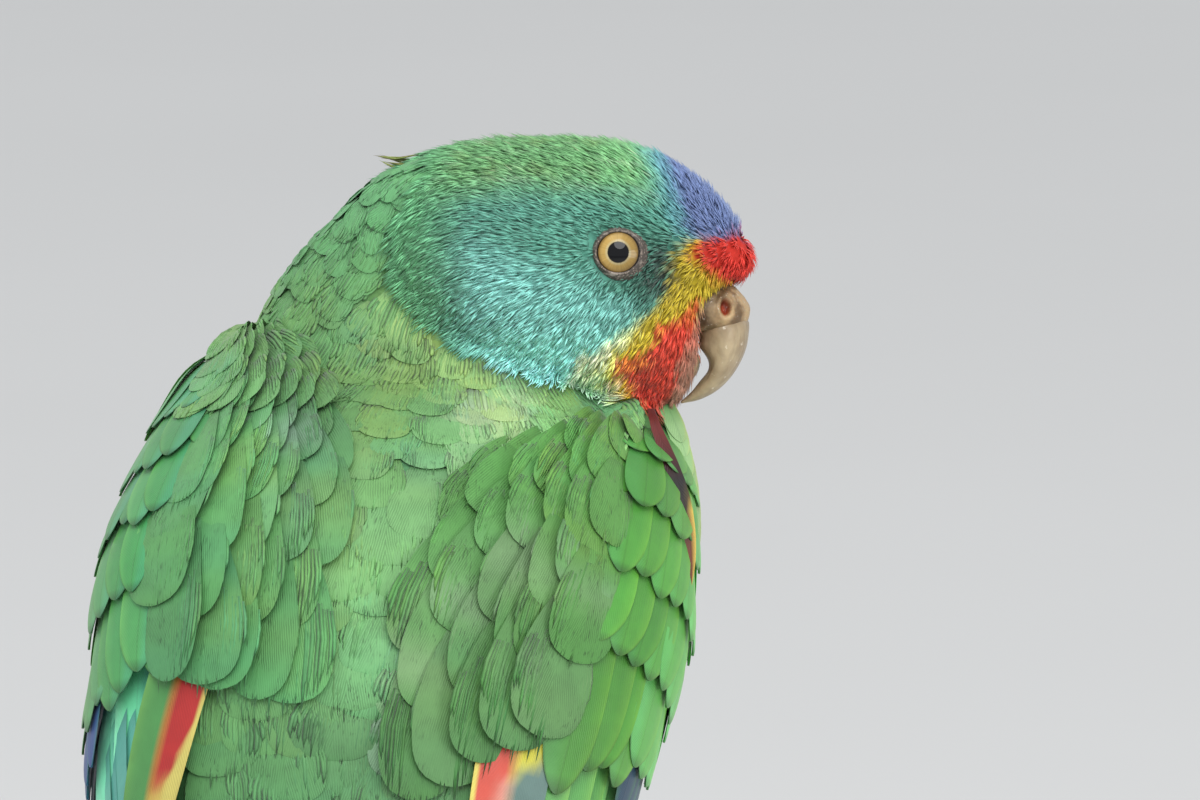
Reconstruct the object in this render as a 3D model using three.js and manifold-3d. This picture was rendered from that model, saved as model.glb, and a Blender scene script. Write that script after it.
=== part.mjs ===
// A swift parrot (Lathamus discolor) as a life-size museum model: it perches with its back to the viewer
// and looks over its right shoulder. It holds a short length of branch on a flat base with two rods.
// Millimetres, +Z up. The origin is the middle of the base's underside, and the bird faces +Y.
import * as THREE from "three";
import { mergeVertices } from "three/addons/utils/BufferGeometryUtils.js";
import Module from "manifold-3d";

const wasm = await Module();
wasm.setup();

// ---------- Driving dimensions ----------
const GAP = 0.3; // kept between pieces that touch
const DEGREE = Math.PI / 180;

// The body frame stands between the shoulders: +Z runs up the spine, +Y to the breast, +X to the right wing.
const SHOULDERS = new THREE.Vector3(8, 22, 184.5);
const SPINE_PITCH = 60 * DEGREE; // above the horizon
const SPINE_LEAN = 7.2 * DEGREE; // towards the right wing
const BODY_TURN = 5.5 * DEGREE; // of the breast towards +X

// The head frame stands between the eyes: +X runs to the bill, +Z to the crown, +Y to the left eye.
const HEAD_TILT = 10 * DEGREE; // the crown leans towards +Y
const HEAD_FROM_SHOULDERS = new THREE.Vector3(23.9, -3, 19.2); // along X, away from the viewer, up the crown

// Distances down the spine from the shoulders, with the body's half width, back and belly there.
const TORSO = {
  halfWidth: [
    [-10, 16], [-5, 21.5], [0, 25.5], [10, 29], [22, 30.5], [35, 30], [48, 27], [60, 22],
    [72, 15.5], [84, 8.5],
  ],
  back: [
    [-10, 7], [-5, 11], [0, 15], [10, 21.5], [22, 24], [35, 23], [48, 20], [60, 16], [72, 11.5],
    [84, 6.5],
  ],
  belly: [
    [-10, 13], [-5, 18], [0, 22], [10, 25.5], [22, 27.5], [35, 28], [48, 26], [60, 21], [72, 14],
    [84, 7],
  ],
};
const TORSO_END = 84;
// The spine bends to the right above the waist: [down, sideways].
const SPINE_BEND = [[-30, 4], [-10, 3.4], [0, 2.9], [10, 2.2], [22, 1], [35, 0.2], [48, 0], [114, 0]];

// The neck's middle up the body frame: [x, y, z, half width, half depth].
const NECK = [
  [2, 2, -6, 23.5, 15.5],
  [2, 1, 3, 23.5, 15.5],
  [1, -1.5, 10, 20.9, 14],
  [1.5, -5, 15.5, 18, 12.8],
  [2.4, -8.5, 20, 14.6, 11],
  [2.8, -11, 24, 11.2, 8.4],
  [3.5, -12.4, 26.6, 6.1, 5],
];

// The folded wing's outer surface: its half width, back and belly down the spine, to the tip.
const WING = {
  halfWidth: [
    [-6, 27.8], [0, 30.4], [10, 33], [22, 34.4], [33, 33.4], [43, 32], [55, 29.6], [68, 26.4],
    [82, 22.5], [97, 18], [114, 13.5],
  ],
  back: [
    [-6, 13], [0, 17.5], [10, 23.5], [22, 26.5], [33, 25.5], [43, 23.5], [55, 21], [68, 18.5],
    [82, 15.5], [97, 12.5], [114, 9.5],
  ],
  belly: [
    [-6, 21], [0, 25], [10, 28.5], [22, 30], [33, 30], [43, 28], [55, 25], [68, 21], [82, 17],
    [97, 13.5], [114, 10],
  ],
  // Degrees round from the middle of the back, at the wing's inner and outer edge.
  inner: [[-6, 62], [0, 46], [10, 38], [22, 35], [43, 34], [68, 37], [97, 40], [114, 44]],
  outer: [[-6, 92], [0, 104], [10, 112], [22, 114], [43, 108], [68, 96], [97, 78], [114, 62]],
  thickness: [[-6, 3], [10, 4.5], [33, 4.5], [55, 3.4], [82, 2], [114, 1]],
};
const WING_CORE = { from: -5, to: 58, inner: 0.06, below: 1.2, steps: 8, across: 5 };
const VANE_THICKNESS = 0.56;

// A feather's outline: [share of its length, share of its width].
const COVERT_SHAPE = [[0, 0.6], [0.5, 1], [0.86, 0.8], [1, 0.16]];
const FLIGHT_SHAPE = [[0, 0.6], [0.35, 0.95], [0.68, 1], [0.9, 0.66], [1, 0.12]];

// The wing's tiers of feathers. Down runs along the wing, and across goes from 0 at its inner edge
// to 1 at its outer one.
const WING_TIERS = {
  primaries: {
    count: 5, shape: FLIGHT_SHAPE, width: 8, tilt: 0.7, lift: -1.9, sink: 1, rise: 0.6, ragged: 1,
    rootDown: [36, 42], rootAcross: [0.5, 0.88], tipDown: [88, 114], tipAcross: [0.14, 0.8],
  },
  secondaries: {
    count: 5, shape: FLIGHT_SHAPE, width: 9.4, tilt: 0.8, lift: -1.3, sink: 1.4, rise: 0.6, ragged: 1,
    rootDown: [24, 36], rootAcross: [0.22, 0.72], tipDown: [76, 70], tipAcross: [0.12, 0.82],
  },
  tertials: {
    count: 3, shape: FLIGHT_SHAPE, width: 9, tilt: 0.8, lift: -0.6, sink: 2, rise: 0.5, ragged: 1,
    rootDown: [15, 23], rootAcross: [0.09, 0.26], tipDown: [58, 68], tipAcross: [0.04, 0.28],
  },
  greater_coverts: {
    count: 7, shape: COVERT_SHAPE, width: 8.8, tilt: 0.65, lift: -0.9, sink: 1.6, rise: 0.4, ragged: 2,
    rootDown: [17, 23], rootAcross: [0.11, 0.92], tipDown: [36, 45], tipAcross: [0.1, 0.92],
  },
  median_coverts: {
    count: 6, shape: COVERT_SHAPE, width: 9, tilt: 0.6, lift: -0.3, sink: 2, rise: 0.4, ragged: 1.6,
    rootDown: [7, 11], rootAcross: [0.15, 0.91], tipDown: [23, 29], tipAcross: [0.13, 0.91],
  },
  lesser_coverts: {
    count: 5, shape: COVERT_SHAPE, width: 9.4, tilt: 0.55, lift: -0.3, sink: 1.9, rise: 0.3, ragged: 1.4,
    rootDown: [-1, 2], rootAcross: [0.18, 0.88], tipDown: [12, 16], tipAcross: [0.17, 0.89],
  },
  marginal_coverts: {
    count: 4, shape: COVERT_SHAPE, width: 9.4, tilt: 0.45, lift: -0.5, sink: 1.4, rise: 0.2, ragged: 1,
    rootDown: [-5.5, -5.5], rootAcross: [0.24, 0.8], tipDown: [4, 6], tipAcross: [0.22, 0.84],
  },
};

// The tail leaves the body frame here and hangs a little steeper than the spine.
const TAIL_ROOT = new THREE.Vector3(0, 0.5, -74);
const TAIL_DROP = 6 * DEGREE;
const RECTRICES = { lengths: [118, 109, 98, 86, 74, 62], width: 8.6 }; // from the middle pair outwards
const TAIL_CORE = {
  halfWidth: [[0, 6], [10, 8], [22, 7.4], [38, 4.5]],
  halfDepth: [[0, 4.5], [10, 4.6], [22, 3.4], [38, 1.6]],
};
const TAIL_ENVELOPE = {
  halfWidth: [[0, 8], [14, 9.5], [40, 12], [62, 13.5], [86, 12.5]],
  halfDepth: [[0, 5.6], [14, 6], [40, 5.6], [62, 5.4], [86, 5]],
};
const TAIL_COVERTS = [[0, 36], [-4.6, 31], [4.6, 31]]; // [sideways, length], above and again below

// The head along its own X: its crown, its chin and its half width.
const HEAD = {
  crown: [
    [-27, 6.5], [-25.6, 9.6], [-23, 11.8], [-20, 12.9], [-16, 13.5], [-10, 13.8], [-4, 13.8],
    [1, 13.2], [5, 11.8], [8.3, 9.9], [11.2, 7.3], [13.5, 4.4], [15, 1.6], [16, -0.8],
  ],
  chin: [
    [-27, -2], [-25.6, -5.6], [-23, -9], [-20, -11.6], [-16, -14.2], [-10, -16.2], [-4, -16.9],
    [1, -17.6], [4.6, -18.4], [7, -17], [8.8, -12.5], [10.2, -7.2], [12, -4.4], [15, -3.2],
    [16, -1.8],
  ],
  halfWidth: [
    [-27, 4], [-25.6, 7], [-23, 9.4], [-20, 11.2], [-16, 12.6], [-10, 13.4], [-4, 13.1], [1, 12.1],
    [5, 10.9], [8.3, 9.4], [11.2, 7.8], [13.5, 6], [15, 4.4], [16, 2],
  ],
};
const HEAD_STATIONS = [-27, -25.6, -22.5, -17.5, -10, -3, 4.6, 7.4, 9.4, 11.4, 13.6, 15.2, 16];

const EYE = { x: 0, z: 0, side: 8.8, radius: 4.2 };
const LID = { radius: 2.95, thickness: 0.62, height: 11.95, turn: 8 * DEGREE };

// The upper bill's middle line in the head frame: [x, z, half thickness, half width].
const BILL = [
  [5.2, -6.0, 3.1, 4.5],
  [8.6, -5.9, 3.3, 4.8],
  [11.5, -7.2, 3.3, 4.8],
  [12.3, -9.8, 2.65, 4.3],
  [12.0, -12.3, 1.95, 3.4],
  [10.9, -14.5, 1.35, 2.3],
  [9.3, -16.1, 0.75, 1.2],
  [7.3, -17.2, 0.12, 0.2],
];
const CERE_SEAM = { x: 12, z: -7.4, tilt: 8 * DEGREE }; // the cere ends and the horn begins on this plane
const LOWER_BILL = [
  [4.2, -12.2, 2.6, 3.9],
  [6.6, -13.0, 2.4, 3.8],
  [8.0, -12.9, 1.7, 3.3],
  [9.0, -12.2, 0.7, 2.2],
  [9.35, -11.7, 0.15, 0.9],
];
const NOSTRIL = { x: 12.5, z: -6.1, side: 4.7, size: [0.62, 1.0, 0.95] };

// The stand, and the branch on it.
const BASE = { width: 116, depth: 142, height: 10, corner: 30, bevel: 1.4 };
const PERCH = { radius: 7.6, length: 104, x: 3, y: 14, z: 109 };
const ROD = { radius: 2.6, reach: 34 };

// Legs and feet stand on the branch.
const FOOT_SPREAD = 11; // each side of the body's middle
const THIGH_RADII = [3.2, 5.2, 8, 9.6, 9.2]; // from the ankle up to the hip
const TOE = { radius: 1.75, end: 1.25, wrap: 118 * DEGREE };
const CLAW = { length: 6.6, radius: 1.05 };

// ---------- Small helpers ----------
const vector = (x, y, z) => new THREE.Vector3(x, y, z);
const mix = (a, b, t) => a + (b - a) * t;

// A smooth value through [place, value] pairs: a cubic whose slope at each pair is that of its neighbours.
function smooth(pairs) {
  const last = pairs.length - 1;
  const slope = (i) => {
    const [x0, y0] = pairs[Math.max(i - 1, 0)];
    const [x1, y1] = pairs[Math.min(i + 1, last)];
    return (y1 - y0) / (x1 - x0);
  };
  return (at) => {
    const place = THREE.MathUtils.clamp(at, pairs[0][0], pairs[last][0]);
    let i = 0;
    while (i < last - 1 && pairs[i + 1][0] < place) i += 1;
    const [x0, y0] = pairs[i];
    const [x1, y1] = pairs[i + 1];
    const width = x1 - x0;
    const t = (place - x0) / width;
    const bend = t * t * (3 - 2 * t);
    const leave = t * (1 - t) * (1 - t) * width * slope(i);
    const arrive = t * t * (t - 1) * width * slope(i + 1);
    return mix(y0, y1, bend) + leave + arrive;
  };
}

// A repeatable draw of numbers from 0 to 1.
function seeded(seed) {
  let state = seed * 2654435761;
  return () => {
    state = (state * 1664525 + 1013904223) % 4294967296;
    return state / 4294967296;
  };
}

const smoothTable = (table) =>
  Object.fromEntries(Object.entries(table).map(([name, pairs]) => [name, smooth(pairs)]));

// A closed geometry as a manifold-3d solid, with its faces turned outwards.
function solid(geometry) {
  const bare = geometry.index ? geometry.toNonIndexed() : geometry.clone();
  bare.deleteAttribute("normal");
  bare.deleteAttribute("uv");
  const merged = mergeVertices(bare, 1e-4);
  const vertProperties = merged.attributes.position.array;
  const triVerts = new Uint32Array(merged.index.array);
  const made = new wasm.Manifold(new wasm.Mesh({ numProp: 3, vertProperties, triVerts }));
  if (made.volume() >= 0) return made;
  for (let i = 0; i < triVerts.length; i += 3) triVerts.subarray(i, i + 3).reverse();
  return new wasm.Manifold(new wasm.Mesh({ numProp: 3, vertProperties, triVerts }));
}

// A solid's largest closed surface as a geometry: sealed hollows fill and loose scraps drop.
function geometryOf(made) {
  const bodies = made.decompose().sort((a, b) => b.volume() - a.volume());
  const mesh = bodies[0].getMesh();
  const positions = new Float32Array(mesh.numVert * 3);
  for (let i = 0; i < mesh.numVert; i += 1) {
    positions.set(mesh.vertProperties.subarray(i * mesh.numProp, i * mesh.numProp + 3), i * 3);
  }
  const geometry = new THREE.BufferGeometry();
  geometry.setAttribute("position", new THREE.BufferAttribute(positions, 3));
  geometry.setIndex(new THREE.BufferAttribute(mesh.triVerts, 1));
  return geometry;
}

const moved = (made, matrix) => made.transform(matrix.elements);
const joined = (pieces) => pieces.reduce((whole, piece) => whole.add(piece));
const cutBy = (made, cutters) => cutters.reduce((left, cutter) => left.subtract(cutter), made);

// A closed skin over rings of points. Each end is closed by a fan to its middle, or on a thin form by a
// strip: there the second half of each ring faces the first, and both faces are split into triangles alike.
function loft(rings, thin = false) {
  const count = rings[0].length;
  const points = rings.flat();
  const faces = [];
  for (let r = 0; r + 1 < rings.length; r += 1) {
    for (let k = 0; k < count; k += 1) {
      const a = r * count + k;
      const b = r * count + ((k + 1) % count);
      if (thin && k >= count / 2) faces.push(a, b, a + count, b, b + count, a + count);
      else faces.push(a, b, b + count, a, b + count, a + count);
    }
  }
  const face = (forwards, a, b, c) => faces.push(...(forwards ? [a, b, c] : [a, c, b]));
  const fan = (start, forwards) => {
    const middle = vector(0, 0, 0);
    for (let k = 0; k < count; k += 1) middle.addScaledVector(points[start + k], 1 / count);
    const hub = points.push(middle) - 1;
    for (let k = 0; k < count; k += 1) face(forwards, hub, start + k, start + ((k + 1) % count));
  };
  const strip = (start, forwards) => {
    for (let k = 0; k + 1 < count / 2; k += 1) {
      const [near, next] = [start + k, start + k + 1];
      const [far, beyond] = [start + count - 1 - k, start + count - 2 - k];
      face(forwards, near, next, beyond);
      face(forwards, near, beyond, far);
    }
  };
  const close = thin ? strip : fan;
  close(0, false);
  close((rings.length - 1) * count, true);
  const geometry = new THREE.BufferGeometry().setFromPoints(points);
  geometry.setIndex(faces);
  return solid(geometry);
}

// A closed ring in a plane: an oval whose upper and lower halves have their own reach, a little squared.
function oval(centre, across, along, half, upper, lower, count, squared = 2.25) {
  return Array.from({ length: count }, (_, k) => {
    const angle = (2 * Math.PI * k) / count;
    const round = (value) => Math.sign(value) * Math.abs(value) ** (2 / squared);
    const side = half * round(Math.sin(angle));
    const rise = (Math.cos(angle) > 0 ? upper : lower) * round(Math.cos(angle));
    return centre.clone().addScaledVector(across, side).addScaledVector(along, rise);
  });
}

// A tube of ovals along a line of points, each with its half width and half thickness.
function tube(points, halfWidths, halfThicknesses, across, count) {
  const rings = points.map((point, i) => {
    const before = points[Math.max(i - 1, 0)];
    const after = points[Math.min(i + 1, points.length - 1)];
    const along = after.clone().sub(before).normalize();
    const side = across.clone().addScaledVector(along, -across.dot(along)).normalize();
    const up = along.clone().cross(side).normalize();
    return oval(point, side, up, halfWidths[i], halfThicknesses[i], halfThicknesses[i], count, 2);
  });
  return loft(rings);
}

// ---------- Frames ----------
function frameMatrix(origin, x, y, z) {
  return new THREE.Matrix4().makeBasis(x, y, z).setPosition(origin);
}

function bodyFrame() {
  const spine = vector(
    Math.tan(SPINE_LEAN),
    Math.cos(SPINE_PITCH),
    Math.sin(SPINE_PITCH),
  ).normalize();
  const breast = vector(Math.sin(BODY_TURN), Math.cos(BODY_TURN), 0);
  breast.addScaledVector(spine, -breast.dot(spine)).normalize();
  const right = breast.clone().cross(spine).normalize();
  return frameMatrix(SHOULDERS, right, breast, spine);
}

function headFrame() {
  const bill = vector(1, 0, 0);
  const crown = vector(0, Math.sin(HEAD_TILT), Math.cos(HEAD_TILT));
  const left = crown.clone().cross(bill);
  const origin = SHOULDERS.clone()
    .addScaledVector(bill, HEAD_FROM_SHOULDERS.x)
    .addScaledVector(left, HEAD_FROM_SHOULDERS.y)
    .addScaledVector(crown, HEAD_FROM_SHOULDERS.z);
  return frameMatrix(origin, bill, left, crown);
}

const BODY = bodyFrame();
const HEAD_PLACE = headFrame();
const HEAD_IN_BODY = BODY.clone().invert().multiply(HEAD_PLACE);
const WORLD_IN_BODY = BODY.clone().invert();

// ---------- Head ----------
function headSolid(grow) {
  const table = smoothTable(HEAD);
  const rings = HEAD_STATIONS.map((x, i) => {
    const end = i === 0 ? -grow : i === HEAD_STATIONS.length - 1 ? grow : 0;
    const crown = table.crown(x) + grow;
    const chin = table.chin(x) - grow;
    const middle = mix(chin, crown, 0.46);
    const centre = vector(x + end, 0, middle);
    const half = table.halfWidth(x) + grow;
    return oval(centre, vector(0, 1, 0), vector(0, 0, 1), half, crown - middle, middle - chin, 20);
  });
  return loft(rings);
}

function billSolid(line, from, to, steps, grow, count) {
  const middle = new THREE.CatmullRomCurve3(line.map(([x, z]) => vector(x, 0, z)));
  const sizes = new THREE.CatmullRomCurve3(line.map(([, , thick, wide]) => vector(thick, wide, 0)));
  const shares = Array.from({ length: steps + 1 }, (_, i) => mix(from, to, i / steps));
  const points = shares.map((t) => middle.getPoint(t));
  const thick = shares.map((t) => Math.max(sizes.getPoint(t).x, 0.1) + grow);
  const wide = shares.map((t) => Math.max(sizes.getPoint(t).y, 0.1) + grow);
  return tube(points, wide, thick, vector(0, 1, 0), count);
}

function ellipsoid(x, y, z, size, detail = 10) {
  const ball = new THREE.SphereGeometry(1, detail, Math.ceil(detail * 0.6));
  ball.scale(size[0], size[1], size[2]);
  ball.translate(x, y, z);
  return solid(ball);
}

function eyeBall(side, grow) {
  const ball = new THREE.SphereGeometry(EYE.radius + grow, 16, 10);
  ball.translate(EYE.x, side * EYE.side, EYE.z);
  return solid(ball);
}

function lidRing(side) {
  const ring = new THREE.TorusGeometry(LID.radius, LID.thickness, 5, 16);
  ring.rotateX(90 * DEGREE);
  ring.rotateZ(-side * LID.turn);
  ring.translate(EYE.x, side * LID.height, EYE.z);
  return solid(ring);
}

const wholeBill = (grow) => billSolid(BILL, 0, 1, 11, grow, 12);

// A block that holds everything above or below the seam between the cere and the horn.
function seamBlock(above, clear) {
  const block = new THREE.BoxGeometry(40, 40, 40);
  block.translate(0, 0, above ? 20 - clear : -20 + clear);
  block.rotateY(CERE_SEAM.tilt);
  block.translate(CERE_SEAM.x, 0, CERE_SEAM.z);
  return solid(block);
}

const upperBill = () => wholeBill(0).subtract(seamBlock(true, GAP / 2));
const cereWhole = () => wholeBill(0.25).subtract(seamBlock(false, GAP / 2));
const lowerBill = (grow) => billSolid(LOWER_BILL, 0, 1, 5, grow, 10);

function headPieces() {
  const sides = [-1, 1];
  const nostrils = sides.map((side) => ellipsoid(NOSTRIL.x, side * NOSTRIL.side, NOSTRIL.z, NOSTRIL.size, 8));
  const cere = cutBy(cereWhole(), nostrils);
  const lower = cutBy(lowerBill(0), [wholeBill(GAP + 0.25)]);
  const withLids = joined([headSolid(0), ...sides.map(lidRing)]);
  const head = cutBy(withLids, [
    ...sides.map((side) => eyeBall(side, GAP)),
    wholeBill(GAP + 0.25),
    lowerBill(GAP),
  ]);
  return {
    head,
    cere,
    beak_upper: upperBill(),
    beak_lower: lower,
    eye_left: eyeBall(1, 0),
    eye_right: eyeBall(-1, 0),
  };
}

// ---------- Neck and torso ----------
function neckSolid(grow) {
  const rings = NECK.map(([x, y, z, half, depth], i) => {
    const end = i === 0 ? -grow : i === NECK.length - 1 ? grow : 0;
    const centre = vector(x, y, z + end);
    return oval(centre, vector(1, 0, 0), vector(0, -1, 0), half + grow, depth + grow, depth + grow, 20);
  });
  return loft(rings);
}

const spineBend = smooth(SPINE_BEND);

function torsoSolid(grow) {
  const table = smoothTable(TORSO);
  const stations = [-10, -5, 0, 7, 15, 24, 33, 42, 51, 60, 68, 76, TORSO_END];
  const rings = stations.map((down, i) => {
    const end = i === 0 ? -grow : i === stations.length - 1 ? grow : 0;
    const centre = vector(spineBend(down), 0, -(down + end));
    const half = table.halfWidth(down) + grow;
    const back = table.back(down) + grow;
    const belly = table.belly(down) + grow;
    return oval(centre, vector(1, 0, 0), vector(0, -1, 0), half, back, belly, 26);
  });
  return loft(rings);
}

// ---------- Wings ----------
const wing = smoothTable(WING);

// A point of the folded wing: down the spine, round from the back, and lifted off the wing's surface.
function wingPoint(side, down, degrees, lift) {
  const angle = degrees * DEGREE;
  const round = (value) => Math.sign(value) * Math.abs(value) ** (2 / 2.25);
  const depth = Math.cos(angle) > 0 ? wing.back(down) : wing.belly(down);
  const x = (wing.halfWidth(down) + lift) * round(Math.sin(angle));
  const y = -(depth + lift) * round(Math.cos(angle));
  return vector(side * x + spineBend(down), y, -down);
}

// The core that the wing's feathers are rooted in: a curved blade under them, which ends half way down.
function wingCore(side) {
  const { from, to, inner, below, steps, across } = WING_CORE;
  const rings = Array.from({ length: steps + 1 }, (_, i) => {
    const down = mix(from, to, i / steps);
    const row = (lift) =>
      Array.from({ length: across + 1 }, (_, k) =>
        wingPoint(side, down, mix(wing.inner(down), wing.outer(down), mix(inner, 1, k / across)), lift),
      );
    return [...row(-below), ...row(-wing.thickness(down)).reverse()];
  });
  return loft(rings, true);
}

// One feather on the folded wing, from its root to its tip. Places across the wing run from 0 at its inner
// edge to 1 at its outer edge. The inner edge dips under the next feather towards the back.
function wingVane(side, feather, tier) {
  const rings = tier.shape.map(([t, share]) => {
    const down = mix(feather.root[0], feather.tip[0], t);
    const across = mix(feather.root[1], feather.tip[1], t);
    const degrees = mix(wing.inner(down), wing.outer(down), across);
    const lift = tier.lift + feather.lift + mix(-tier.sink, tier.rise, t ** 0.7);
    const before = wingPoint(side, down, degrees - 1, lift);
    const reach = wingPoint(side, down, degrees + 1, lift).distanceTo(before) / 2;
    const turn = (0.5 * tier.width * feather.breadth * share) / reach;
    const tilt = tier.tilt * share;
    const corner = (sign, height) =>
      wingPoint(side, down, degrees + sign * turn, lift + sign * tilt + height);
    const half = VANE_THICKNESS / 2;
    return [corner(-1, half), corner(1, half), corner(1, -half), corner(-1, -half)];
  });
  return loft(rings, true);
}

// The feathers of a tier, from the innermost to the outermost.
function wingTier(side, tier, draw) {
  return Array.from({ length: tier.count }, (_, i) => {
    const q = tier.count > 1 ? i / (tier.count - 1) : 0;
    const jitter = tier.ragged * (draw() - 0.5);
    const root = [mix(...tier.rootDown, q), mix(...tier.rootAcross, q)];
    const tip = [mix(...tier.tipDown, q) + jitter, mix(...tier.tipAcross, q)];
    const lift = 0.16 * (draw() - 0.5);
    const breadth = 1 + 0.1 * (draw() - 0.5);
    return wingVane(side, { root, tip, lift, breadth }, tier);
  });
}

function wingSolid(side) {
  const draw = seeded(side + 7);
  return joined([wingCore(side), ...Object.values(WING_TIERS).flatMap((tier) => wingTier(side, tier, draw))]);
}

// ---------- Tail ----------
const TAIL_IN_BODY = new THREE.Matrix4()
  .makeRotationX(TAIL_DROP)
  .setPosition(TAIL_ROOT);

// The root of the tail, inside the tail coverts. In its own frame the tail hangs down -Z and faces up at -Y.
function tailCore(grow) {
  const { halfWidth, halfDepth } = smoothTable(TAIL_CORE);
  const stations = [0, 7, 14, 22, 30, 38];
  const rings = stations.map((down, i) => {
    const end = i === 0 ? -grow : i === stations.length - 1 ? grow : 0;
    const half = halfWidth(down) + grow;
    const depth = halfDepth(down) + grow;
    return oval(vector(0, 0, -(down + end)), vector(1, 0, 0), vector(0, -1, 0), half, depth, depth, 12, 2);
  });
  return loft(rings);
}

// One tail feather, which leans out sideways and lies at its own depth in the stack.
function tailVane(side, feather) {
  const rings = feather.shape.map(([t, share]) => {
    const down = mix(feather.from, feather.length, t);
    const x = side * mix(feather.rootSide, feather.tipSide, t);
    const y = mix(feather.rootDepth, feather.tipDepth, t);
    const reach = 0.5 * feather.width * share;
    const tilt = side * feather.tilt * share;
    const corner = (sign, height) => vector(x + sign * reach, y + height - sign * tilt, -down);
    const half = VANE_THICKNESS / 2;
    return [corner(-1, -half), corner(1, -half), corner(1, half), corner(-1, half)];
  });
  return loft(rings, true);
}

// All that the tail's feathers reach, for the wings to stay clear of.
function tailEnvelope(grow) {
  const { halfWidth, halfDepth } = smoothTable(TAIL_ENVELOPE);
  const stations = [0, 14, 28, 42, 56, 70, 86];
  const rings = stations.map((down) => {
    const half = halfWidth(down) + grow;
    const depth = halfDepth(down) + grow;
    return oval(vector(0, 0, -down), vector(1, 0, 0), vector(0, -1, 0), half, depth, depth, 12, 2.6);
  });
  return loft(rings);
}

function tailSolid() {
  const quills = RECTRICES.lengths.flatMap((length, i) =>
    [-1, 1].map((side) =>
      tailVane(side, {
        shape: FLIGHT_SHAPE,
        from: 6,
        length,
        width: RECTRICES.width,
        rootSide: 0.6 + 0.75 * i,
        tipSide: i === 0 ? 1.1 : 1.6 + 1.75 * i,
        rootDepth: -2.1 + 0.8 * i + (side < 0 ? 0 : 0.4),
        tipDepth: -2.6 + 1.05 * i + (side < 0 ? 0 : 0.75),
        tilt: -0.12 * i,
      }),
    ),
  );
  const coverts = [-1, 1].flatMap((face) =>
    TAIL_COVERTS.map(([sideways, length]) =>
      tailVane(1, {
        shape: COVERT_SHAPE,
        from: 11,
        length: length * (face < 0 ? 1 : 0.85),
        width: 8,
        rootSide: sideways * 0.7,
        tipSide: sideways,
        rootDepth: face * (3 - 0.12 * Math.abs(sideways)),
        tipDepth: face < 0 ? -3.9 + 0.1 * Math.abs(sideways) : 5.2 - 0.1 * Math.abs(sideways),
        tilt: 0,
      }),
    ),
  );
  return joined([tailCore(0), ...quills, ...coverts]);
}

// ---------- Legs, feet and claws, in the world frame ----------
const footX = (side) => PERCH.x + side * FOOT_SPREAD;

function perchSolid(grow) {
  const stations = 13;
  const count = 12;
  const rings = Array.from({ length: stations + 1 }, (_, i) => {
    const share = i / stations;
    const end = i === 0 || i === stations ? 0.94 : 1;
    const x = PERCH.x + PERCH.length * (share - 0.5) + (i === 0 ? -grow : i === stations ? grow : 0);
    return Array.from({ length: count }, (_, k) => {
      const angle = (2 * Math.PI * k) / count;
      const bark = 0.3 * Math.sin(3 * angle + 9 * share) + 0.22 * Math.sin(5 * angle - 21 * share);
      const swell = 0.35 * Math.sin(7 * share + 1);
      const radius = (PERCH.radius + bark + swell) * end + grow;
      return vector(x, PERCH.y + radius * Math.sin(angle), PERCH.z + radius * Math.cos(angle));
    });
  });
  return loft(rings);
}

const TOES = [
  { splay: 1, turn: 1, reach: 0.94 },
  { splay: -1, turn: 1, reach: 1 },
  { splay: 1, turn: -1, reach: 1 },
  { splay: -1, turn: -1, reach: 0.82 },
];

// A place on a toe's line round the branch: share 0 is over the branch, 1 is the toe's end.
function toePoint(side, toe, share, lift) {
  const angle = toe.turn * toe.reach * TOE.wrap * share;
  const radius = PERCH.radius + 0.9 + TOE.radius + lift;
  const x = footX(side) + toe.splay * mix(0.9, 4.6, share);
  return vector(x, PERCH.y + radius * Math.sin(angle), PERCH.z + radius * Math.cos(angle));
}

function toeSolid(side, toe) {
  const steps = 7;
  const shares = Array.from({ length: steps + 1 }, (_, i) => i / steps);
  const points = shares.map((t) => toePoint(side, toe, t, 0));
  const pads = shares.map((t) => mix(TOE.radius, TOE.end, t) * (1 + 0.07 * Math.cos(t * 6 * Math.PI)));
  return tube(points, pads, pads, vector(1, 0, 0), 7);
}

// A claw carries on from the toe's end, curling in a little and down to a point.
function clawSolid(side, toe) {
  const end = toePoint(side, toe, 1, 0);
  const before = toePoint(side, toe, 0.9, 0);
  const along = end.clone().sub(before).normalize();
  const outward = end.clone().sub(vector(end.x, PERCH.y, PERCH.z)).normalize();
  const steps = 5;
  const shares = Array.from({ length: steps + 1 }, (_, i) => i / steps);
  const points = shares.map((t) =>
    end
      .clone()
      .addScaledVector(along, TOE.end * 0.15 + GAP + CLAW.length * t)
      .addScaledVector(outward, 1.5 * Math.sin(Math.PI * t * 0.55) - 1.1 * t * t),
  );
  const radii = shares.map((t) => mix(CLAW.radius, 0.12, t ** 1.2));
  return tube(points, radii.map((r) => r * 0.8), radii, vector(1, 0, 0), 7);
}

function legTop(side) {
  return vector(footX(side) - 1, PERCH.y - 3.5, PERCH.z + 20);
}

// The bare shank, from the knob over the branch up into the thigh's feathers.
function footSolid(side) {
  const foot = vector(footX(side), PERCH.y, PERCH.z + PERCH.radius + 3.2);
  const top = legTop(side);
  const shank = tube(
    [foot, foot.clone().lerp(top, 0.35), foot.clone().lerp(top, 0.75)],
    [2.5, 1.9, 1.8],
    [2.5, 1.9, 1.8],
    vector(1, 0, 0),
    8,
  );
  const palm = ellipsoid(foot.x, foot.y, foot.z - 0.6, [3.1, 3.5, 2.2], 9);
  return joined([palm, shank, ...TOES.map((toe) => toeSolid(side, toe))]);
}

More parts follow.
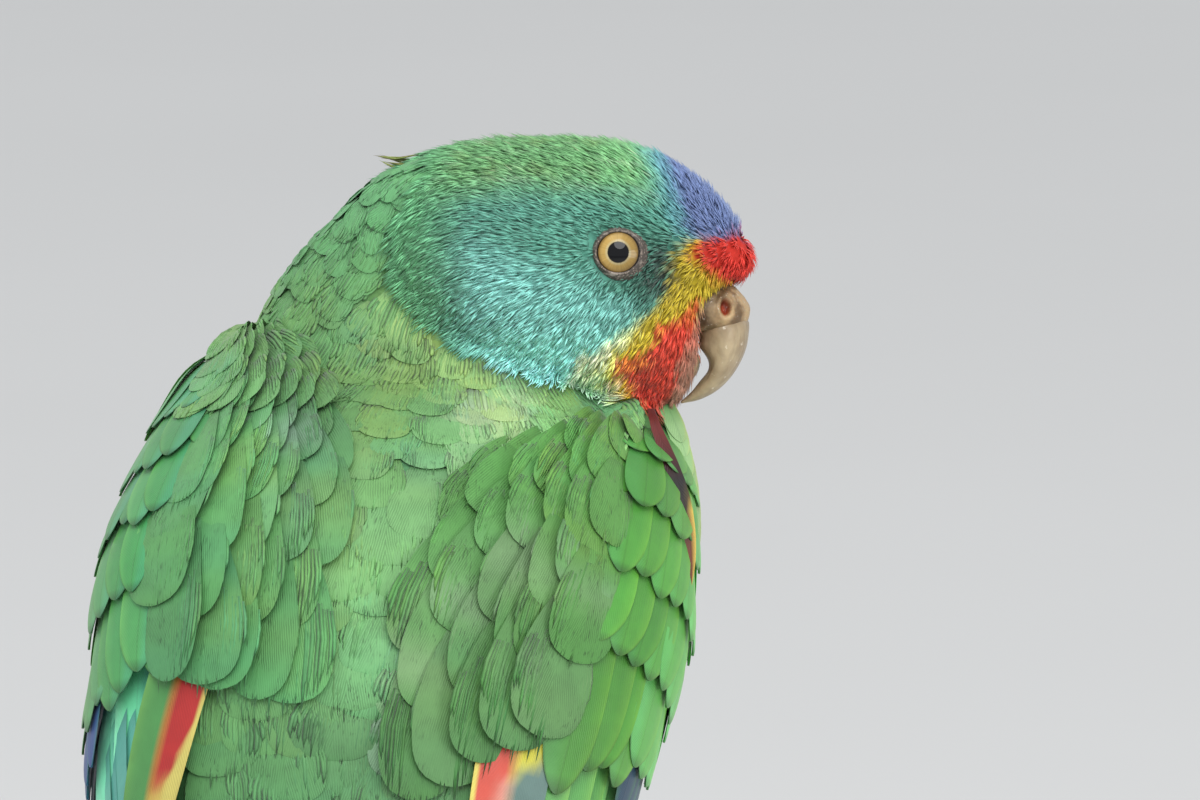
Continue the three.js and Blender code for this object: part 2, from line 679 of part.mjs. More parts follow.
function thighSolid(side, grow) {
  const top = legTop(side);
  const hip = top.clone().add(vector(-1.5, -9, 14));
  const ankle = vector(footX(side), PERCH.y, PERCH.z + PERCH.radius + 6.2);
  const start = ankle.clone().add(vector(0, 0, -grow));
  const points = [start, ankle.clone().lerp(top, 0.4), top, top.clone().lerp(hip, 0.5), hip];
  const radii = THIGH_RADII.map((r) => r + grow);
  return tube(points, radii, radii, vector(1, 0, 0), 14);
}

// ---------- Stand ----------
function roundedPlate() {
  const { width, depth, height, corner, bevel } = BASE;
  const shape = new THREE.Shape();
  const x = width / 2 - bevel;
  const y = depth / 2 - bevel;
  const r = corner - bevel;
  shape.moveTo(-x + r, -y);
  shape.lineTo(x - r, -y);
  shape.absarc(x - r, -y + r, r, -Math.PI / 2, 0);
  shape.lineTo(x, y - r);
  shape.absarc(x - r, y - r, r, 0, Math.PI / 2);
  shape.lineTo(-x + r, y);
  shape.absarc(-x + r, y - r, r, Math.PI / 2, Math.PI);
  shape.lineTo(-x, -y + r);
  shape.absarc(-x + r, -y + r, r, Math.PI, 1.5 * Math.PI);
  const plate = new THREE.ExtrudeGeometry(shape, {
    depth: height - 2 * bevel,
    bevelSize: bevel,
    bevelThickness: bevel,
    bevelSegments: 1,
    curveSegments: 7,
  });
  plate.translate(0, 0, bevel);
  return solid(plate);
}

function rodSolid(side) {
  const bottom = BASE.height + GAP;
  const length = PERCH.z - bottom;
  const rod = new THREE.CylinderGeometry(ROD.radius, ROD.radius, length, 16);
  rod.rotateX(90 * DEGREE);
  rod.translate(PERCH.x + side * ROD.reach, PERCH.y, bottom + length / 2);
  return cutBy(solid(rod), [perchSolid(GAP)]);
}

// ---------- The model ----------
const COLOURS = {
  green: 0x4aa84a,
  teal: 0x3f9f86,
  horn: 0xc9ab86,
  cere: 0xb59a86,
  iris: 0xd8a43c,
  tail: 0x8a2f2a,
  skin: 0x9a7f70,
  claw: 0x4a4240,
  bark: 0x6b5a4c,
  wood: 0x3a2a20,
  steel: 0x8a8d90,
};

function node(name, made, colour, roughness = 0.7, metalness = 0) {
  const material = new THREE.MeshStandardMaterial({ color: colour, roughness, metalness });
  const mesh = new THREE.Mesh(geometryOf(made), material);
  mesh.name = name;
  return mesh;
}

function placedGroup(matrix) {
  const group = new THREE.Group();
  group.applyMatrix4(matrix);
  return group;
}

const parrot = new THREE.Group();
const bodyGroup = placedGroup(BODY);
const headGroup = placedGroup(HEAD_PLACE);
parrot.add(bodyGroup, headGroup);

const head = headPieces();
headGroup.add(
  node("head", head.head, COLOURS.teal, 0.8),
  node("cere", head.cere, COLOURS.cere, 0.6),
  node("beak_upper", head.beak_upper, COLOURS.horn, 0.4),
  node("beak_lower", head.beak_lower, COLOURS.horn, 0.4),
  node("eye_left", head.eye_left, COLOURS.iris, 0.1),
  node("eye_right", head.eye_right, COLOURS.iris, 0.1),
);

const headCutter = moved(headSolid(GAP), HEAD_IN_BODY);
const tailInBody = (made) => moved(made, TAIL_IN_BODY);
const thighInBody = (side, grow) => moved(thighSolid(side, grow), WORLD_IN_BODY);

const torsoHollow = torsoSolid(GAP).subtract(tailInBody(tailCore(0.05)));
const torsoCutters = [neckSolid(GAP), headCutter, tailInBody(tailCore(GAP))];

bodyGroup.add(
  node("neck", cutBy(neckSolid(0), [headCutter]), COLOURS.green, 0.8),
  node("torso", cutBy(torsoSolid(0), torsoCutters), COLOURS.green, 0.8),
  node("tail", cutBy(tailInBody(tailSolid()), [torsoHollow]), COLOURS.tail, 0.6),
);
for (const [name, side] of [["left", -1], ["right", 1]]) {
  const clear = [torsoSolid(GAP), neckSolid(GAP), headCutter, tailInBody(tailEnvelope(GAP))];
  bodyGroup.add(node(`wing_${name}`, cutBy(wingSolid(side), clear), COLOURS.green, 0.5));
  const thigh = cutBy(thighInBody(side, 0), [torsoSolid(GAP)]);
  bodyGroup.add(node(`leg_${name}`, thigh, COLOURS.green, 0.8));
  const foot = cutBy(footSolid(side), [perchSolid(GAP), thighSolid(side, GAP)]);
  parrot.add(node(`foot_${name}`, foot, COLOURS.skin, 0.6));
  TOES.forEach((toe, i) => {
    const claw = cutBy(clawSolid(side, toe), [perchSolid(GAP)]);
    parrot.add(node(`claw_${name}_${i + 1}`, claw, COLOURS.claw, 0.4));
  });
}

parrot.add(
  node("stand_perch", perchSolid(0), COLOURS.bark, 0.9),
  node("stand_base", roundedPlate(), COLOURS.wood, 0.5),
  node("stand_rod_left", rodSolid(-1), COLOURS.steel, 0.35, 0.9),
  node("stand_rod_right", rodSolid(1), COLOURS.steel, 0.35, 0.9),
);

export default parrot;
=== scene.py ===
import bpy
import numpy as np
from mathutils import Matrix


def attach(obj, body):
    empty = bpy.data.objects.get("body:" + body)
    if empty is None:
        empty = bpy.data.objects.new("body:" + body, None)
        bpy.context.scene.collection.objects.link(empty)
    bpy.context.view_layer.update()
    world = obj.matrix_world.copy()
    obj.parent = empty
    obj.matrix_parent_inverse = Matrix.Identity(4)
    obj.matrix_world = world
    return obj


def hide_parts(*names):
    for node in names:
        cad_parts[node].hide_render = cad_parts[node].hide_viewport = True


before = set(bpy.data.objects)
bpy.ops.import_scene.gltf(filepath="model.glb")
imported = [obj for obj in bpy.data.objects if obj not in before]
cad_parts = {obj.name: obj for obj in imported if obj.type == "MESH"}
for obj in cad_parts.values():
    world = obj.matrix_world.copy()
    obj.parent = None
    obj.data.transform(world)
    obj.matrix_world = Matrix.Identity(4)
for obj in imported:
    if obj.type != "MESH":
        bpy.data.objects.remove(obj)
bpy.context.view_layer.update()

# A swift parrot (Lathamus discolor) on a perch stand. One skin lies under a coat of closed, tapering feathers
# that follow its surface. Sizes are in millimetres until a mesh is made, and colours are linear RGB.
MM = 0.001
TURN = 2 * np.pi


# ---------- Numbers and curves ----------
def mix(a, b, t):
    """The value a share t of the way from a to b."""
    return a + (b - a) * t


def ramp(low, high, x):
    """0 below low, 1 above high, and 3t^2 - 2t^3 in between."""
    t = np.clip((x - low) / (high - low), 0, 1)
    return t * t * (3 - 2 * t)


def hump(middle, width, x):
    """A bell: e to the minus square of the distance from its middle in widths."""
    return np.exp(-(((x - middle) / width) ** 2))


def unit(v):
    """Vectors divided by their lengths."""
    return v / np.maximum(np.linalg.norm(v, axis=-1, keepdims=True), 1e-9)


def tint(a, b, share):
    """A colour a share of the way from one to another, for each place that has a share."""
    return mix(np.array(a), np.array(b), share[..., None])


def dot(a, b):
    """The scalar product along the last axis, kept as an axis."""
    return (a * b).sum(-1, keepdims=True)


def curve(pairs):
    """A smooth value through [place, value] pairs: a cubic, whose slope at each pair is the one between the
    pairs before and after it."""
    places, values = np.array(list(pairs), float).T
    last = len(places) - 1
    before = np.maximum(np.arange(last + 1) - 1, 0)
    after = np.minimum(np.arange(last + 1) + 1, last)
    slopes = (values[after] - values[before]) / (places[after] - places[before])

    def at(x):
        x = np.clip(x, places[0], places[-1])
        i = np.clip(np.searchsorted(places, x, side="right") - 1, 0, last - 1)
        width = places[i + 1] - places[i]
        t = (x - places[i]) / width
        leave = t * (1 - t) ** 2 * width * slopes[i]
        arrive = t * t * (t - 1) * width * slopes[i + 1]
        return mix(values[i], values[i + 1], t * t * (3 - 2 * t)) + leave + arrive

    return at


def even_curve(values):
    """A curve through values at even steps from 0 to 1."""
    return curve(zip(np.linspace(0, 1, len(values)), values))


def curves(places, **tables):
    """A curve for each named list of values, all at the same places."""
    return {name: curve(zip(places, values)) for name, values in tables.items()}


def mottle(points, size, seed):
    """Soft blotches from -1 to 1: the mean of eight sine waves in random directions, about size across."""
    draw = np.random.default_rng(seed)
    waves = unit(draw.normal(size=(8, 3))) * (TURN / size) * draw.uniform(0.6, 1.5, (8, 1))
    return np.sin(points @ waves.T + draw.uniform(0, TURN, 8)).mean(-1) * 2


def inside(corners, x, z):
    """The signed distance to a polygon's edge, positive inside."""
    corners = np.array(corners, float)
    nearest = np.full(np.shape(x), 1e9)
    crossings = np.zeros(np.shape(x), bool)
    for (ax, az), (bx, bz) in zip(corners, np.roll(corners, -1, 0)):
        run, rise = bx - ax, bz - az
        share = np.clip(((x - ax) * run + (z - az) * rise) / (run**2 + rise**2), 0, 1)
        nearest = np.minimum(nearest, np.hypot(x - mix(ax, bx, share), z - mix(az, bz, share)))
        height = rise if abs(rise) > 1e-9 else 1e-9
        crossings ^= ((az > z) != (bz > z)) & (x < ax + (z - az) * run / height)
    return np.where(crossings, nearest, -nearest)


class Frame:
    """A place and three axes, with ways in and out of it."""

    def __init__(self, origin, x, y, z):
        self.origin, self.axes = np.array(origin, float), np.array([x, y, z], float)

    def out(self, points):
        return points @ self.axes + self.origin

    def into(self, points):
        return (points - self.origin) @ self.axes.T


# ---------- The parrot's named sizes ----------
PITCH, LEAN, BODY_TURN, HEAD_TILT, TAIL_DROP = np.radians([60, 7.2, 5.5, 10, 6])
SPINE = unit(np.array([np.tan(LEAN), np.cos(PITCH), np.sin(PITCH)]))
BREAST = np.array([np.sin(BODY_TURN), np.cos(BODY_TURN), 0])
BREAST = unit(BREAST - SPINE * (BREAST @ SPINE))
BODY = Frame([8, 22, 184.5], np.cross(BREAST, SPINE), BREAST, SPINE)
CROWN = np.array([0, np.sin(HEAD_TILT), np.cos(HEAD_TILT)])
LEFT = np.array([0, np.cos(HEAD_TILT), -np.sin(HEAD_TILT)])
FACE = Frame(BODY.origin + [23.9, 0, 0] - 3 * LEFT + 19.2 * CROWN, [1, 0, 0], LEFT, CROWN)
TAIL_AXES = np.array([
    [1, 0, 0],
    [0, np.cos(TAIL_DROP), np.sin(TAIL_DROP)],
    [0, -np.sin(TAIL_DROP), np.cos(TAIL_DROP)],
]) @ BODY.axes
TAIL = Frame(BODY.out(np.array([0, 0.5, -74])), *TAIL_AXES)

SQUARED = 2.25
BEND = curve([[-30, 4], [-10, 3.4], [0, 2.9], [10, 2.2], [22, 1], [35, 0.2], [48, 0], [114, 0]])
TORSO = curves(
    [-10, -5, 0, 10, 22, 35, 48, 60, 72, 84],
    half=[16, 21.5, 25.5, 29, 30.5, 30, 27, 22, 15.5, 8.5],
    back=[7, 11, 15, 21.5, 24, 23, 20, 16, 11.5, 6.5],
    belly=[13, 18, 22, 25.5, 27.5, 28, 26, 21, 14, 7],
)
NECK = curves(
    [-6, 3, 10, 15.5, 20, 24, 26.6],
    x=[2, 2, 1, 1.5, 2.4, 2.8, 3.5], y=[2, 1, -1.5, -5, -8.5, -11, -12.4],
    half=[23.5, 23.5, 20.9, 18, 14.6, 11.2, 6.1], depth=[15.5, 15.5, 14, 12.8, 11, 8.4, 5],
)
HEAD = curves(
    [-27, -25.6, -23, -20, -16, -10, -4, 1, 5, 8.3, 11.2, 13.5, 15, 16],
    crown=[6.5, 9.6, 11.8, 12.9, 13.5, 13.8, 13.8, 13.2, 11.8, 9.9, 7.3, 4.4, 1.6, -0.8],
    half=[4, 7, 9.4, 11.2, 12.6, 13.4, 13.1, 12.1, 10.9, 9.4, 7.8, 6, 4.4, 2],
) | curves(
    [-27, -25.6, -23, -20, -16, -10, -4, 1, 4.6, 7, 8.8, 10.2, 12, 15, 16],
    chin=[-2, -5.6, -9, -11.6, -14.2, -16.2, -16.9, -17.6, -18.4, -17, -12.5, -7.2, -4.4, -3.2, -1.8],
)
WING = curves(
    [-6, 0, 10, 22, 33, 43, 55, 68, 82, 97, 114],
    half=[27.8, 30.4, 33, 34.4, 33.4, 32, 29.6, 26.4, 22.5, 18, 13.5],
    back=[13, 17.5, 23.5, 26.5, 25.5, 23.5, 21, 18.5, 15.5, 12.5, 9.5],
    belly=[21, 25, 28.5, 30, 30, 28, 25, 21, 17, 13.5, 10],
) | curves(
    [-6, 0, 10, 22, 43, 68, 97, 114],
    inner=[62, 46, 38, 35, 34, 37, 40, 44], outer=[92, 104, 112, 114, 108, 96, 78, 62],
) | curves([-6, 10, 33, 55, 82, 114], thickness=[3, 4.5, 4.5, 3.4, 2, 1])
TAIL_CORE = curves([0, 10, 22, 38], half=[6, 8, 7.4, 4.5], depth=[4.5, 4.6, 3.4, 1.6])
BILL = curves(
    [0, 3.4, 6.6, 9.3, 11.8, 14.3, 16.6, 18.9],
    x=[5.2, 8.6, 11.5, 12.3, 12, 10.9, 9.3, 7.3], z=[-6, -5.9, -7.2, -9.8, -12.3, -14.5, -16.1, -17.2],
    thick=[3.1, 3.3, 3.3, 2.65, 1.95, 1.35, 0.75, 0.12], half=[4.5, 4.8, 4.8, 4.3, 3.4, 2.3, 1.2, 0.2],
)
BILL_LENGTH, CERE_LENGTH = 18.9, 7.2
# The lower bill's middle line, x and z, its thickness and its half width, from root to tip.
LOWER_BILL = ((4.2, 6.6, 8, 9, 9.35), (-12.2, -13, -12.9, -12.2, -11.7), (2.6, 2.4, 1.7, 0.7, 0.15),
              (3.9, 3.8, 3.3, 2.2, 0.9))
EYE_SIDE, EYE_RADIUS, BARE_RING = 8.8, 4.2, 2.35
# The nostril: its middle, x and z, and its half length and half height.
NOSTRIL = (12.4, -6.2, 0.62, 1.02)
HEAD_MIDDLE = 0.46
PERCH = {"radius": 7.6, "length": 104, "x": 3, "y": 14, "z": 109}
FOOT_SPREAD = 11
HEAD_COAT, NECK_COAT, BODY_COAT = 0.95, 1.5, 1.7


def rounded(v):
    """A sine or cosine squared off: its size to the power 2 over 2.25."""
    return np.sign(v) * np.abs(v) ** (2 / SQUARED)


def stack(*parts):
    """Coordinates of like shape as points."""
    return np.stack(np.broadcast_arrays(*parts), -1)


# The bare cere's outline in the face's side view, where the skin dips and no feather grows.
CERE_PATCH = [(9.4, -4.7), (11.4, -3.6), (13.6, -3.0), (15.2, -3.9), (17, -4), (17, -20), (9.4, -20),
              (8.7, -9), (9.0, -6.7)]


# ---------- The surfaces that everything grows on ----------
def torso_at(down, angle, inset=0.0):
    """Squared ovals down the spine, wide by the half width and deep by the back or the belly."""
    c = np.cos(angle)
    depth = np.where(c > 0, TORSO["back"](down), TORSO["belly"](down)) - inset
    side = (TORSO["half"](down) - inset) * rounded(np.sin(angle)) + BEND(down)
    return BODY.out(stack(side, -depth * rounded(c), -down))


def neck_at(rise, angle, inset=0.0):
    """Squared ovals up the neck, whose middle line bends back towards the head."""
    side = (NECK["half"](rise) - inset) * rounded(np.sin(angle)) + NECK["x"](rise)
    depth = (NECK["depth"](rise) - inset) * rounded(np.cos(angle))
    return BODY.out(stack(side, NECK["y"](rise) - depth, rise))


def head_at(x, angle, inset=0.0):
    """Squared ovals along the head from nape to brow, between the crown line and the chin line."""
    crown, chin = HEAD["crown"](x) - inset, HEAD["chin"](x) + inset
    middle = mix(chin, crown, HEAD_MIDDLE)
    c = np.cos(angle)
    height = np.maximum(np.where(c > 0, crown - middle, middle - chin), 0.2) * rounded(c)
    side = np.maximum(HEAD["half"](x) - inset, 0.4) * rounded(np.sin(angle))
    dip = ramp(-0.5, 0.7, inside(CERE_PATCH, x + 0 * angle, middle + height)) * (inset > 0)
    side = mix(side, np.clip(side, -3.2, 3.2), dip)
    return FACE.out(stack(x, side, middle + height))


def wing_at(side, down, across, lift):
    """The folded wing's surface: an arc round the body from the wing's inner edge, 0, to its outer edge,
    1."""
    angle = np.radians(mix(WING["inner"](down), WING["outer"](down), across))
    c = np.cos(angle)
    depth = np.where(c > 0, WING["back"](down), WING["belly"](down)) + lift
    x = (WING["half"](down) + lift) * rounded(np.sin(angle))
    return BODY.out(stack(side * x + BEND(down), -depth * rounded(c), -down))


def over_wing(side, down, across, lift):
    """Lines over the folded wing, with their ways out of it, on along them and towards its outer edge."""
    place = wing_at(side, down, across, lift)
    out = unit(wing_at(side, down, across, lift + 1) - place)
    outward = unit(wing_at(side, down, across + 0.01, lift) - place)
    return place, out, unit(np.gradient(place, axis=1)), outward


def tail_core_at(down, angle, inset=0.0):
    """Ovals down the root of the tail."""
    side = (TAIL_CORE["half"](down) - inset) * np.sin(angle)
    return TAIL.out(stack(side, -(TAIL_CORE["depth"](down) - inset) * np.cos(angle), -down))


def tube_rings(points, widths, depths, across, count):
    """Rings of ovals square to a line of points: across times width times sine, plus up times depth times
    cosine."""
    along = unit(np.gradient(points, axis=0))
    across = np.broadcast_to(np.array(across, float), points.shape)
    side = unit(across - along * dot(across, along))
    up = np.cross(along, side)
    angle = np.arange(count) * TURN / count
    wide = side[:, None] * (widths[:, None] * np.sin(angle))[..., None]
    deep = up[:, None] * (depths[:, None] * np.cos(angle))[..., None]
    return points[:, None] + wide + deep


def leg_places(side, above):
    """A place in the leg, so far above the branch, and the top of the shank."""
    x = PERCH["x"] + side * FOOT_SPREAD
    low = np.array([x, PERCH["y"], PERCH["z"] + PERCH["radius"] + above])
    return low, np.array([x - 1, PERCH["y"] - 3.5, PERCH["z"] + 20])


def thigh_line(side):
    """The thigh's middle line from the ankle to the hip, with its radii."""
    ankle, top = leg_places(side, 6.2)
    hip = top + [-1.5, -9, 14]
    places = np.array([ankle, mix(ankle, top, 0.4), top, mix(top, hip, 0.5), hip])
    share = np.linspace(0, 1, 12)
    line = stack(*(even_curve(column)(share) for column in places.T))
    return line, even_curve([3.2, 5.2, 8, 9.6, 9.2])(share)


# ---------- Meshes ----------
class Bodies:
    """Many closed bodies of one build: points are [body, point, xyz], and faces index one body's points."""

    def __init__(self, points, faces, **layers):
        self.points = points
        triangles = np.concatenate([
            np.stack([f[:, 0], f[:, j], f[:, j + 1]], -1) for f in faces for j in range(1, f.shape[1] - 1)
        ])
        a, b, c = (points[:, triangles[:, k]] for k in range(3))
        centre = points.mean(1)[:, None]
        volume = ((a - centre) * np.cross(b - centre, c - centre)).sum((1, 2))
        start = (np.arange(len(points)) * points.shape[1])[:, None, None]
        turned = (volume < 0)[:, None, None]
        self.faces = [(np.where(turned, f[:, ::-1], f) + start).reshape(-1, f.shape[1]) for f in faces]
        self.layers = layers


def loft(rings, tips=None, **layers):
    """Closed skins over rings [body, row, place, xyz], shut at the start by a face and at the end by one or
    by a tip."""
    count, rows, sides = rings.shape[:3]
    row, place = np.arange(rows - 1)[:, None] * sides, np.arange(sides)
    after = (place + 1) % sides
    quads = stack(row + place, row + after, row + after + sides, row + place + sides)
    faces = [quads.reshape(-1, 4)]
    points = rings.reshape(count, -1, 3)
    last = (rows - 1) * sides
    if tips is None:
        faces.append(np.stack([place[::-1], last + place]))
    else:
        points = np.concatenate([points, tips[:, None]], 1)
        faces.append(place[::-1][None])
        faces.append(np.stack([last + place, last + after, np.full(sides, rows * sides)], -1))
    return Bodies(points, faces, **layers)


def tube(points, widths, depths, sides):
    """A closed tube of ovals along a line, whose widths lie along x."""
    return loft(tube_rings(points, widths, depths, (1, 0, 0), sides)[None])


def vertex_places(mesh):
    """A mesh's vertices in millimetres."""
    places = np.empty(len(mesh.vertices) * 3, np.float32)
    mesh.vertices.foreach_get("co", places)
    return places.reshape(-1, 3).astype(float) / MM


def add_vertices(mesh, points):
    """Adds points in millimetres to a mesh as its vertices."""
    mesh.vertices.add(len(points))
    mesh.vertices.foreach_set("co", (points * MM).ravel().astype(np.float32))


def set_plumage(mesh, colours):
    """Stores a colour for each vertex as the attribute Plumage."""
    colours = np.concatenate([np.clip(colours, 0, 1), np.ones((len(colours), 1))], 1).astype(np.float32)
    mesh.color_attributes.new("Plumage", "FLOAT_COLOR", "POINT").data.foreach_set("color", colours.ravel())


def place_object(name, data):
    """A new object in the scene for a mesh, a lamp or a camera."""
    made = bpy.data.objects.new(name, data)
    bpy.context.scene.collection.objects.link(made)
    return made


def mesh_piece(name, batches, material):
    """One object from batches of bodies, with their colours as Plumage and their maps as Vane and OFBake."""
    points = np.concatenate([b.points.reshape(-1, 3) for b in batches])
    starts = np.cumsum([0] + [b.points.shape[0] * b.points.shape[1] for b in batches[:-1]])
    faces = [f + start for b, start in zip(batches, starts) for f in b.faces]
    corners = np.concatenate([f.ravel() for f in faces])
    sizes = np.concatenate([np.full(len(f), f.shape[1]) for f in faces])
    mesh = bpy.data.meshes.new(name)
    add_vertices(mesh, points)
    mesh.loops.add(len(corners))
    mesh.loops.foreach_set("vertex_index", corners.astype(np.int32))
    mesh.polygons.add(len(sizes))
    mesh.polygons.foreach_set("loop_start", np.concatenate([[0], np.cumsum(sizes)[:-1]]).astype(np.int32))
    mesh.polygons.foreach_set("use_smooth", np.ones(len(sizes), bool))
    mesh.update(calc_edges=True)
    for layer in ("Vane", "OFBake"):
        if all(layer in b.layers for b in batches):
            flat = np.concatenate([b.layers[layer].reshape(-1, 2) for b in batches])
            mesh.uv_layers.new(name=layer).uv.foreach_set("vector", flat[corners].ravel().astype(np.float32))
    if any("Rim" in b.layers for b in batches):
        rim = [b.layers.get("Rim", np.zeros(b.points.shape[:2], bool)).ravel() for b in batches]
        ends = np.empty(len(mesh.edges) * 2, np.int32)
        mesh.edges.foreach_get("vertices", ends)
        sharp = np.concatenate(rim)[ends].reshape(-1, 2).all(1)
        mesh.attributes.new("sharp_edge", "BOOLEAN", "EDGE").data.foreach_set("value", sharp)
    if all("Plumage" in b.layers for b in batches):
        set_plumage(mesh, np.concatenate([b.layers["Plumage"].reshape(-1, 3) for b in batches]))
    return finish_piece(place_object(name, mesh), material)


def finish_piece(piece, material):
    """Gives a piece its material and its slot, and lets it ride on the one body."""
    piece.data.materials.clear()
    piece.data.materials.append(material)
    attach(piece, "root")
    return piece


# ---------- Materials ----------
class Wire:
    """A node's output that takes part in sums: each operator adds a Math node."""

    def __init__(self, paint, socket):
        self.paint, self.socket = paint, socket

    def maths(self, operation, *others):
        values = {i: value for i, value in enumerate((self, *others))}
        return self.paint.node("ShaderNodeMath", {"operation": operation}, values)[0]

    def __add__(self, other):
        return self.maths("ADD", other)

    def __sub__(self, other):
        return self.maths("SUBTRACT", other)

    def __mul__(self, other):
        return self.maths("MULTIPLY", other)

    def __truediv__(self, other):
        return self.maths("DIVIDE", other)

    def __pow__(self, other):
        return self.maths("POWER", other)

    def __rsub__(self, other):
        return (self * -1) + other

    def __abs__(self):
        return self.maths("ABSOLUTE")

    __radd__, __rmul__ = __add__, __mul__


class Paint:
    """A material on one Principled shader, whose constants are set on its own sockets."""

    def __init__(self, name, **constants):
        self.material = bpy.data.materials.new(name)
        self.material.use_nodes = True
        self.tree = self.material.node_tree
        self.shader = self.tree.nodes["Principled BSDF"]
        for socket, value in constants.items():
            self.feed(self.shader.inputs[socket.replace("_", " ")], value)

    def feed(self, socket, value):
        if isinstance(value, Wire):
            self.tree.links.new(value.socket, socket)
        else:
            socket.default_value = value

    def node(self, kind, settings=None, values=None):
        made = self.tree.nodes.new(kind)
        for name, value in (settings or {}).items():
            if name == "stops":
                while len(made.color_ramp.elements) < len(value):
                    made.color_ramp.elements.new(1.0)
                for element, (place, colour) in zip(made.color_ramp.elements, value):
                    element.position, element.color = place, (*colour, 1)
            else:
                setattr(made, name, value)
        for key, value in (values or {}).items():
            self.feed(made.inputs[key], value)
        return [Wire(self, socket) for socket in made.outputs]

    def place(self, scale=(1, 1, 1)):
        """Object coordinates, stretched along the axes."""
        coordinates = self.node("ShaderNodeTexCoord")[3]
        return self.node("ShaderNodeMapping", None, {"Vector": coordinates, "Scale": scale})[0]

    def noise(self, vector, scale, detail=3.0, roughness=0.55):
        values = {"Vector": vector, "Scale": scale, "Detail": detail, "Roughness": roughness}
        return self.node("ShaderNodeTexNoise", None, values)[0]

    def between(self, low, high, value):
        """0 to 1 as the value goes smoothly from low to high."""
        settings = {"interpolation_type": "SMOOTHSTEP"}
        return self.node("ShaderNodeMapRange", settings, {0: value, 1: low, 2: high})[0]

    def blotch(self, low, high, scale, detail=3.0, stretch=(1, 1, 1), roughness=0.55):
        """Blotches of 1 on 0, with edges where a noise goes from low to high."""
        return self.between(low, high, self.noise(self.place(stretch), scale, detail, roughness))

    def vector(self, operation, values, output=0):
        return self.node("ShaderNodeVectorMath", {"operation": operation}, values)[output]

    def plumage(self):
        """The colour stored on the mesh."""
        return self.node("ShaderNodeVertexColor", {"layer_name": "Plumage"})[0]

    def vane(self):
        """The two places stored as the map Vane."""
        places = self.node("ShaderNodeUVMap", {"uv_map": "Vane"})[0]
        return self.node("ShaderNodeSeparateXYZ", None, {0: places})[:2]

    def blend(self, share, a, b, way="MIX"):
        """Two colours mixed by a share."""
        a, b = (v if isinstance(v, Wire) else (*v, 1) for v in (a, b))
        settings = {"data_type": "RGBA", "blend_type": way}
        return self.node("ShaderNodeMix", settings, {0: share, 6: a, 7: b})[2]

    def shade(self, colour, amount):
        """A colour times a number."""
        return self.vector("SCALE", {0: colour, "Scale": amount})

    def bump(self, height, strength, distance):
        values = {"Height": height, "Strength": strength, "Distance": distance}
        self.feed(self.shader.inputs["Normal"], self.node("ShaderNodeBump", None, values)[0])

    def colour(self, value):
        self.feed(self.shader.inputs["Base Color"], value)
        return self

    def rough(self, value):
        self.feed(self.shader.inputs["Roughness"], value)
        return self


def vane_paint(name, spacing, slope, depth, shaft_depth, strength, dashes, **constants):
    """Feather vanes: the Plumage colour, combed by barbs that leave the shaft towards the tip, and a shaft.
    Barb lines come and go in blotches, as where barbs part or lie close."""
    paint = Paint(name, **constants)
    across, along = paint.vane()
    wobble = paint.noise(paint.place(), 700.0, 2.0)
    barb = (along - abs(across) * slope) / spacing + wobble * 0.9
    line = (barb * TURN).maths("SINE") * 0.5 + 0.5
    parted = paint.blotch(0.4, 0.62, 230.0, 2.0)
    shaft = 1 - paint.between(0.06, 0.2, abs(across))
    tone = 1 - (1 - line) * (parted * 0.75 + 0.25) * depth - shaft * shaft_depth
    fleck = paint.noise(paint.place(), 420.0, 3.0) * 0.28 - 0.14
    if dashes:
        place, spine = paint.node("ShaderNodeTexCoord")[3], tuple(SPINE)
        rise = paint.vector("DOT_PRODUCT", {0: place, 1: spine}, 1)
        drawn = paint.vector("SUBTRACT", {0: place, 1: paint.shade(spine, rise * 0.87)})
        dash = paint.between(0.56, 0.7, paint.noise(drawn, 4200.0, 2.0))
        tone = tone - dash * (paint.blotch(0.42, 0.6, 180.0, 2.0) * 0.8 + 0.2) * dashes
    paint.colour(paint.shade(paint.plumage(), tone + fleck))
    paint.bump(line * (parted * 0.7 + 0.3) + shaft * 0.6, strength, 0.00008)
    return paint.material


def strand_paint(name, **constants):
    """Hair-like barbs: the Plumage colour with a fine speckle."""
    paint = Paint(name, **constants)
    paint.colour(paint.shade(paint.plumage(), paint.noise(paint.place(), 1500.0, 2.0) * 0.5 + 0.75))
    return paint.material


PLUME = {"Roughness": 0.52, "Specular_IOR_Level": 0.3, "Sheen_Weight": 0.12, "Sheen_Roughness": 0.4}
STRANDS = strand_paint("plumage_strands", **PLUME)
SOFT_VANES = vane_paint("plumage_soft_vanes", 1.3, 4.6, 0.3, 0.0, 0.35, 0.4, **PLUME)
FLAT_VANES = vane_paint("plumage_flat_vanes", 0.62, 1.9, 0.12, 0.12, 0.25, 0, Roughness=0.44,
                        Specular_IOR_Level=0.4, Sheen_Weight=0.06)


# ---------- The skin ----------
def closed_grid(at, rows, sides, *args):
    """A closed skin over a surface's rings."""
    angle = np.arange(sides) * TURN / sides
    return loft(at(np.array(rows, float)[:, None], angle[None], *args)[None])


def wing_core(side):
    """The flesh of the folded wing: an arc in front of its feathers, from the shoulder to its bend."""
    down = np.linspace(-5, 46, 24)[:, None]
    across = np.linspace(0.06, 1, 14)[None]
    outer = wing_at(side, down, across, mix(-2.5, -4.7, ramp(12, 30, down)))
    inner = wing_at(side, down, across[:, ::-1], -WING["thickness"](down) - 1.5)
    return loft(np.concatenate([outer, inner], 1)[None])


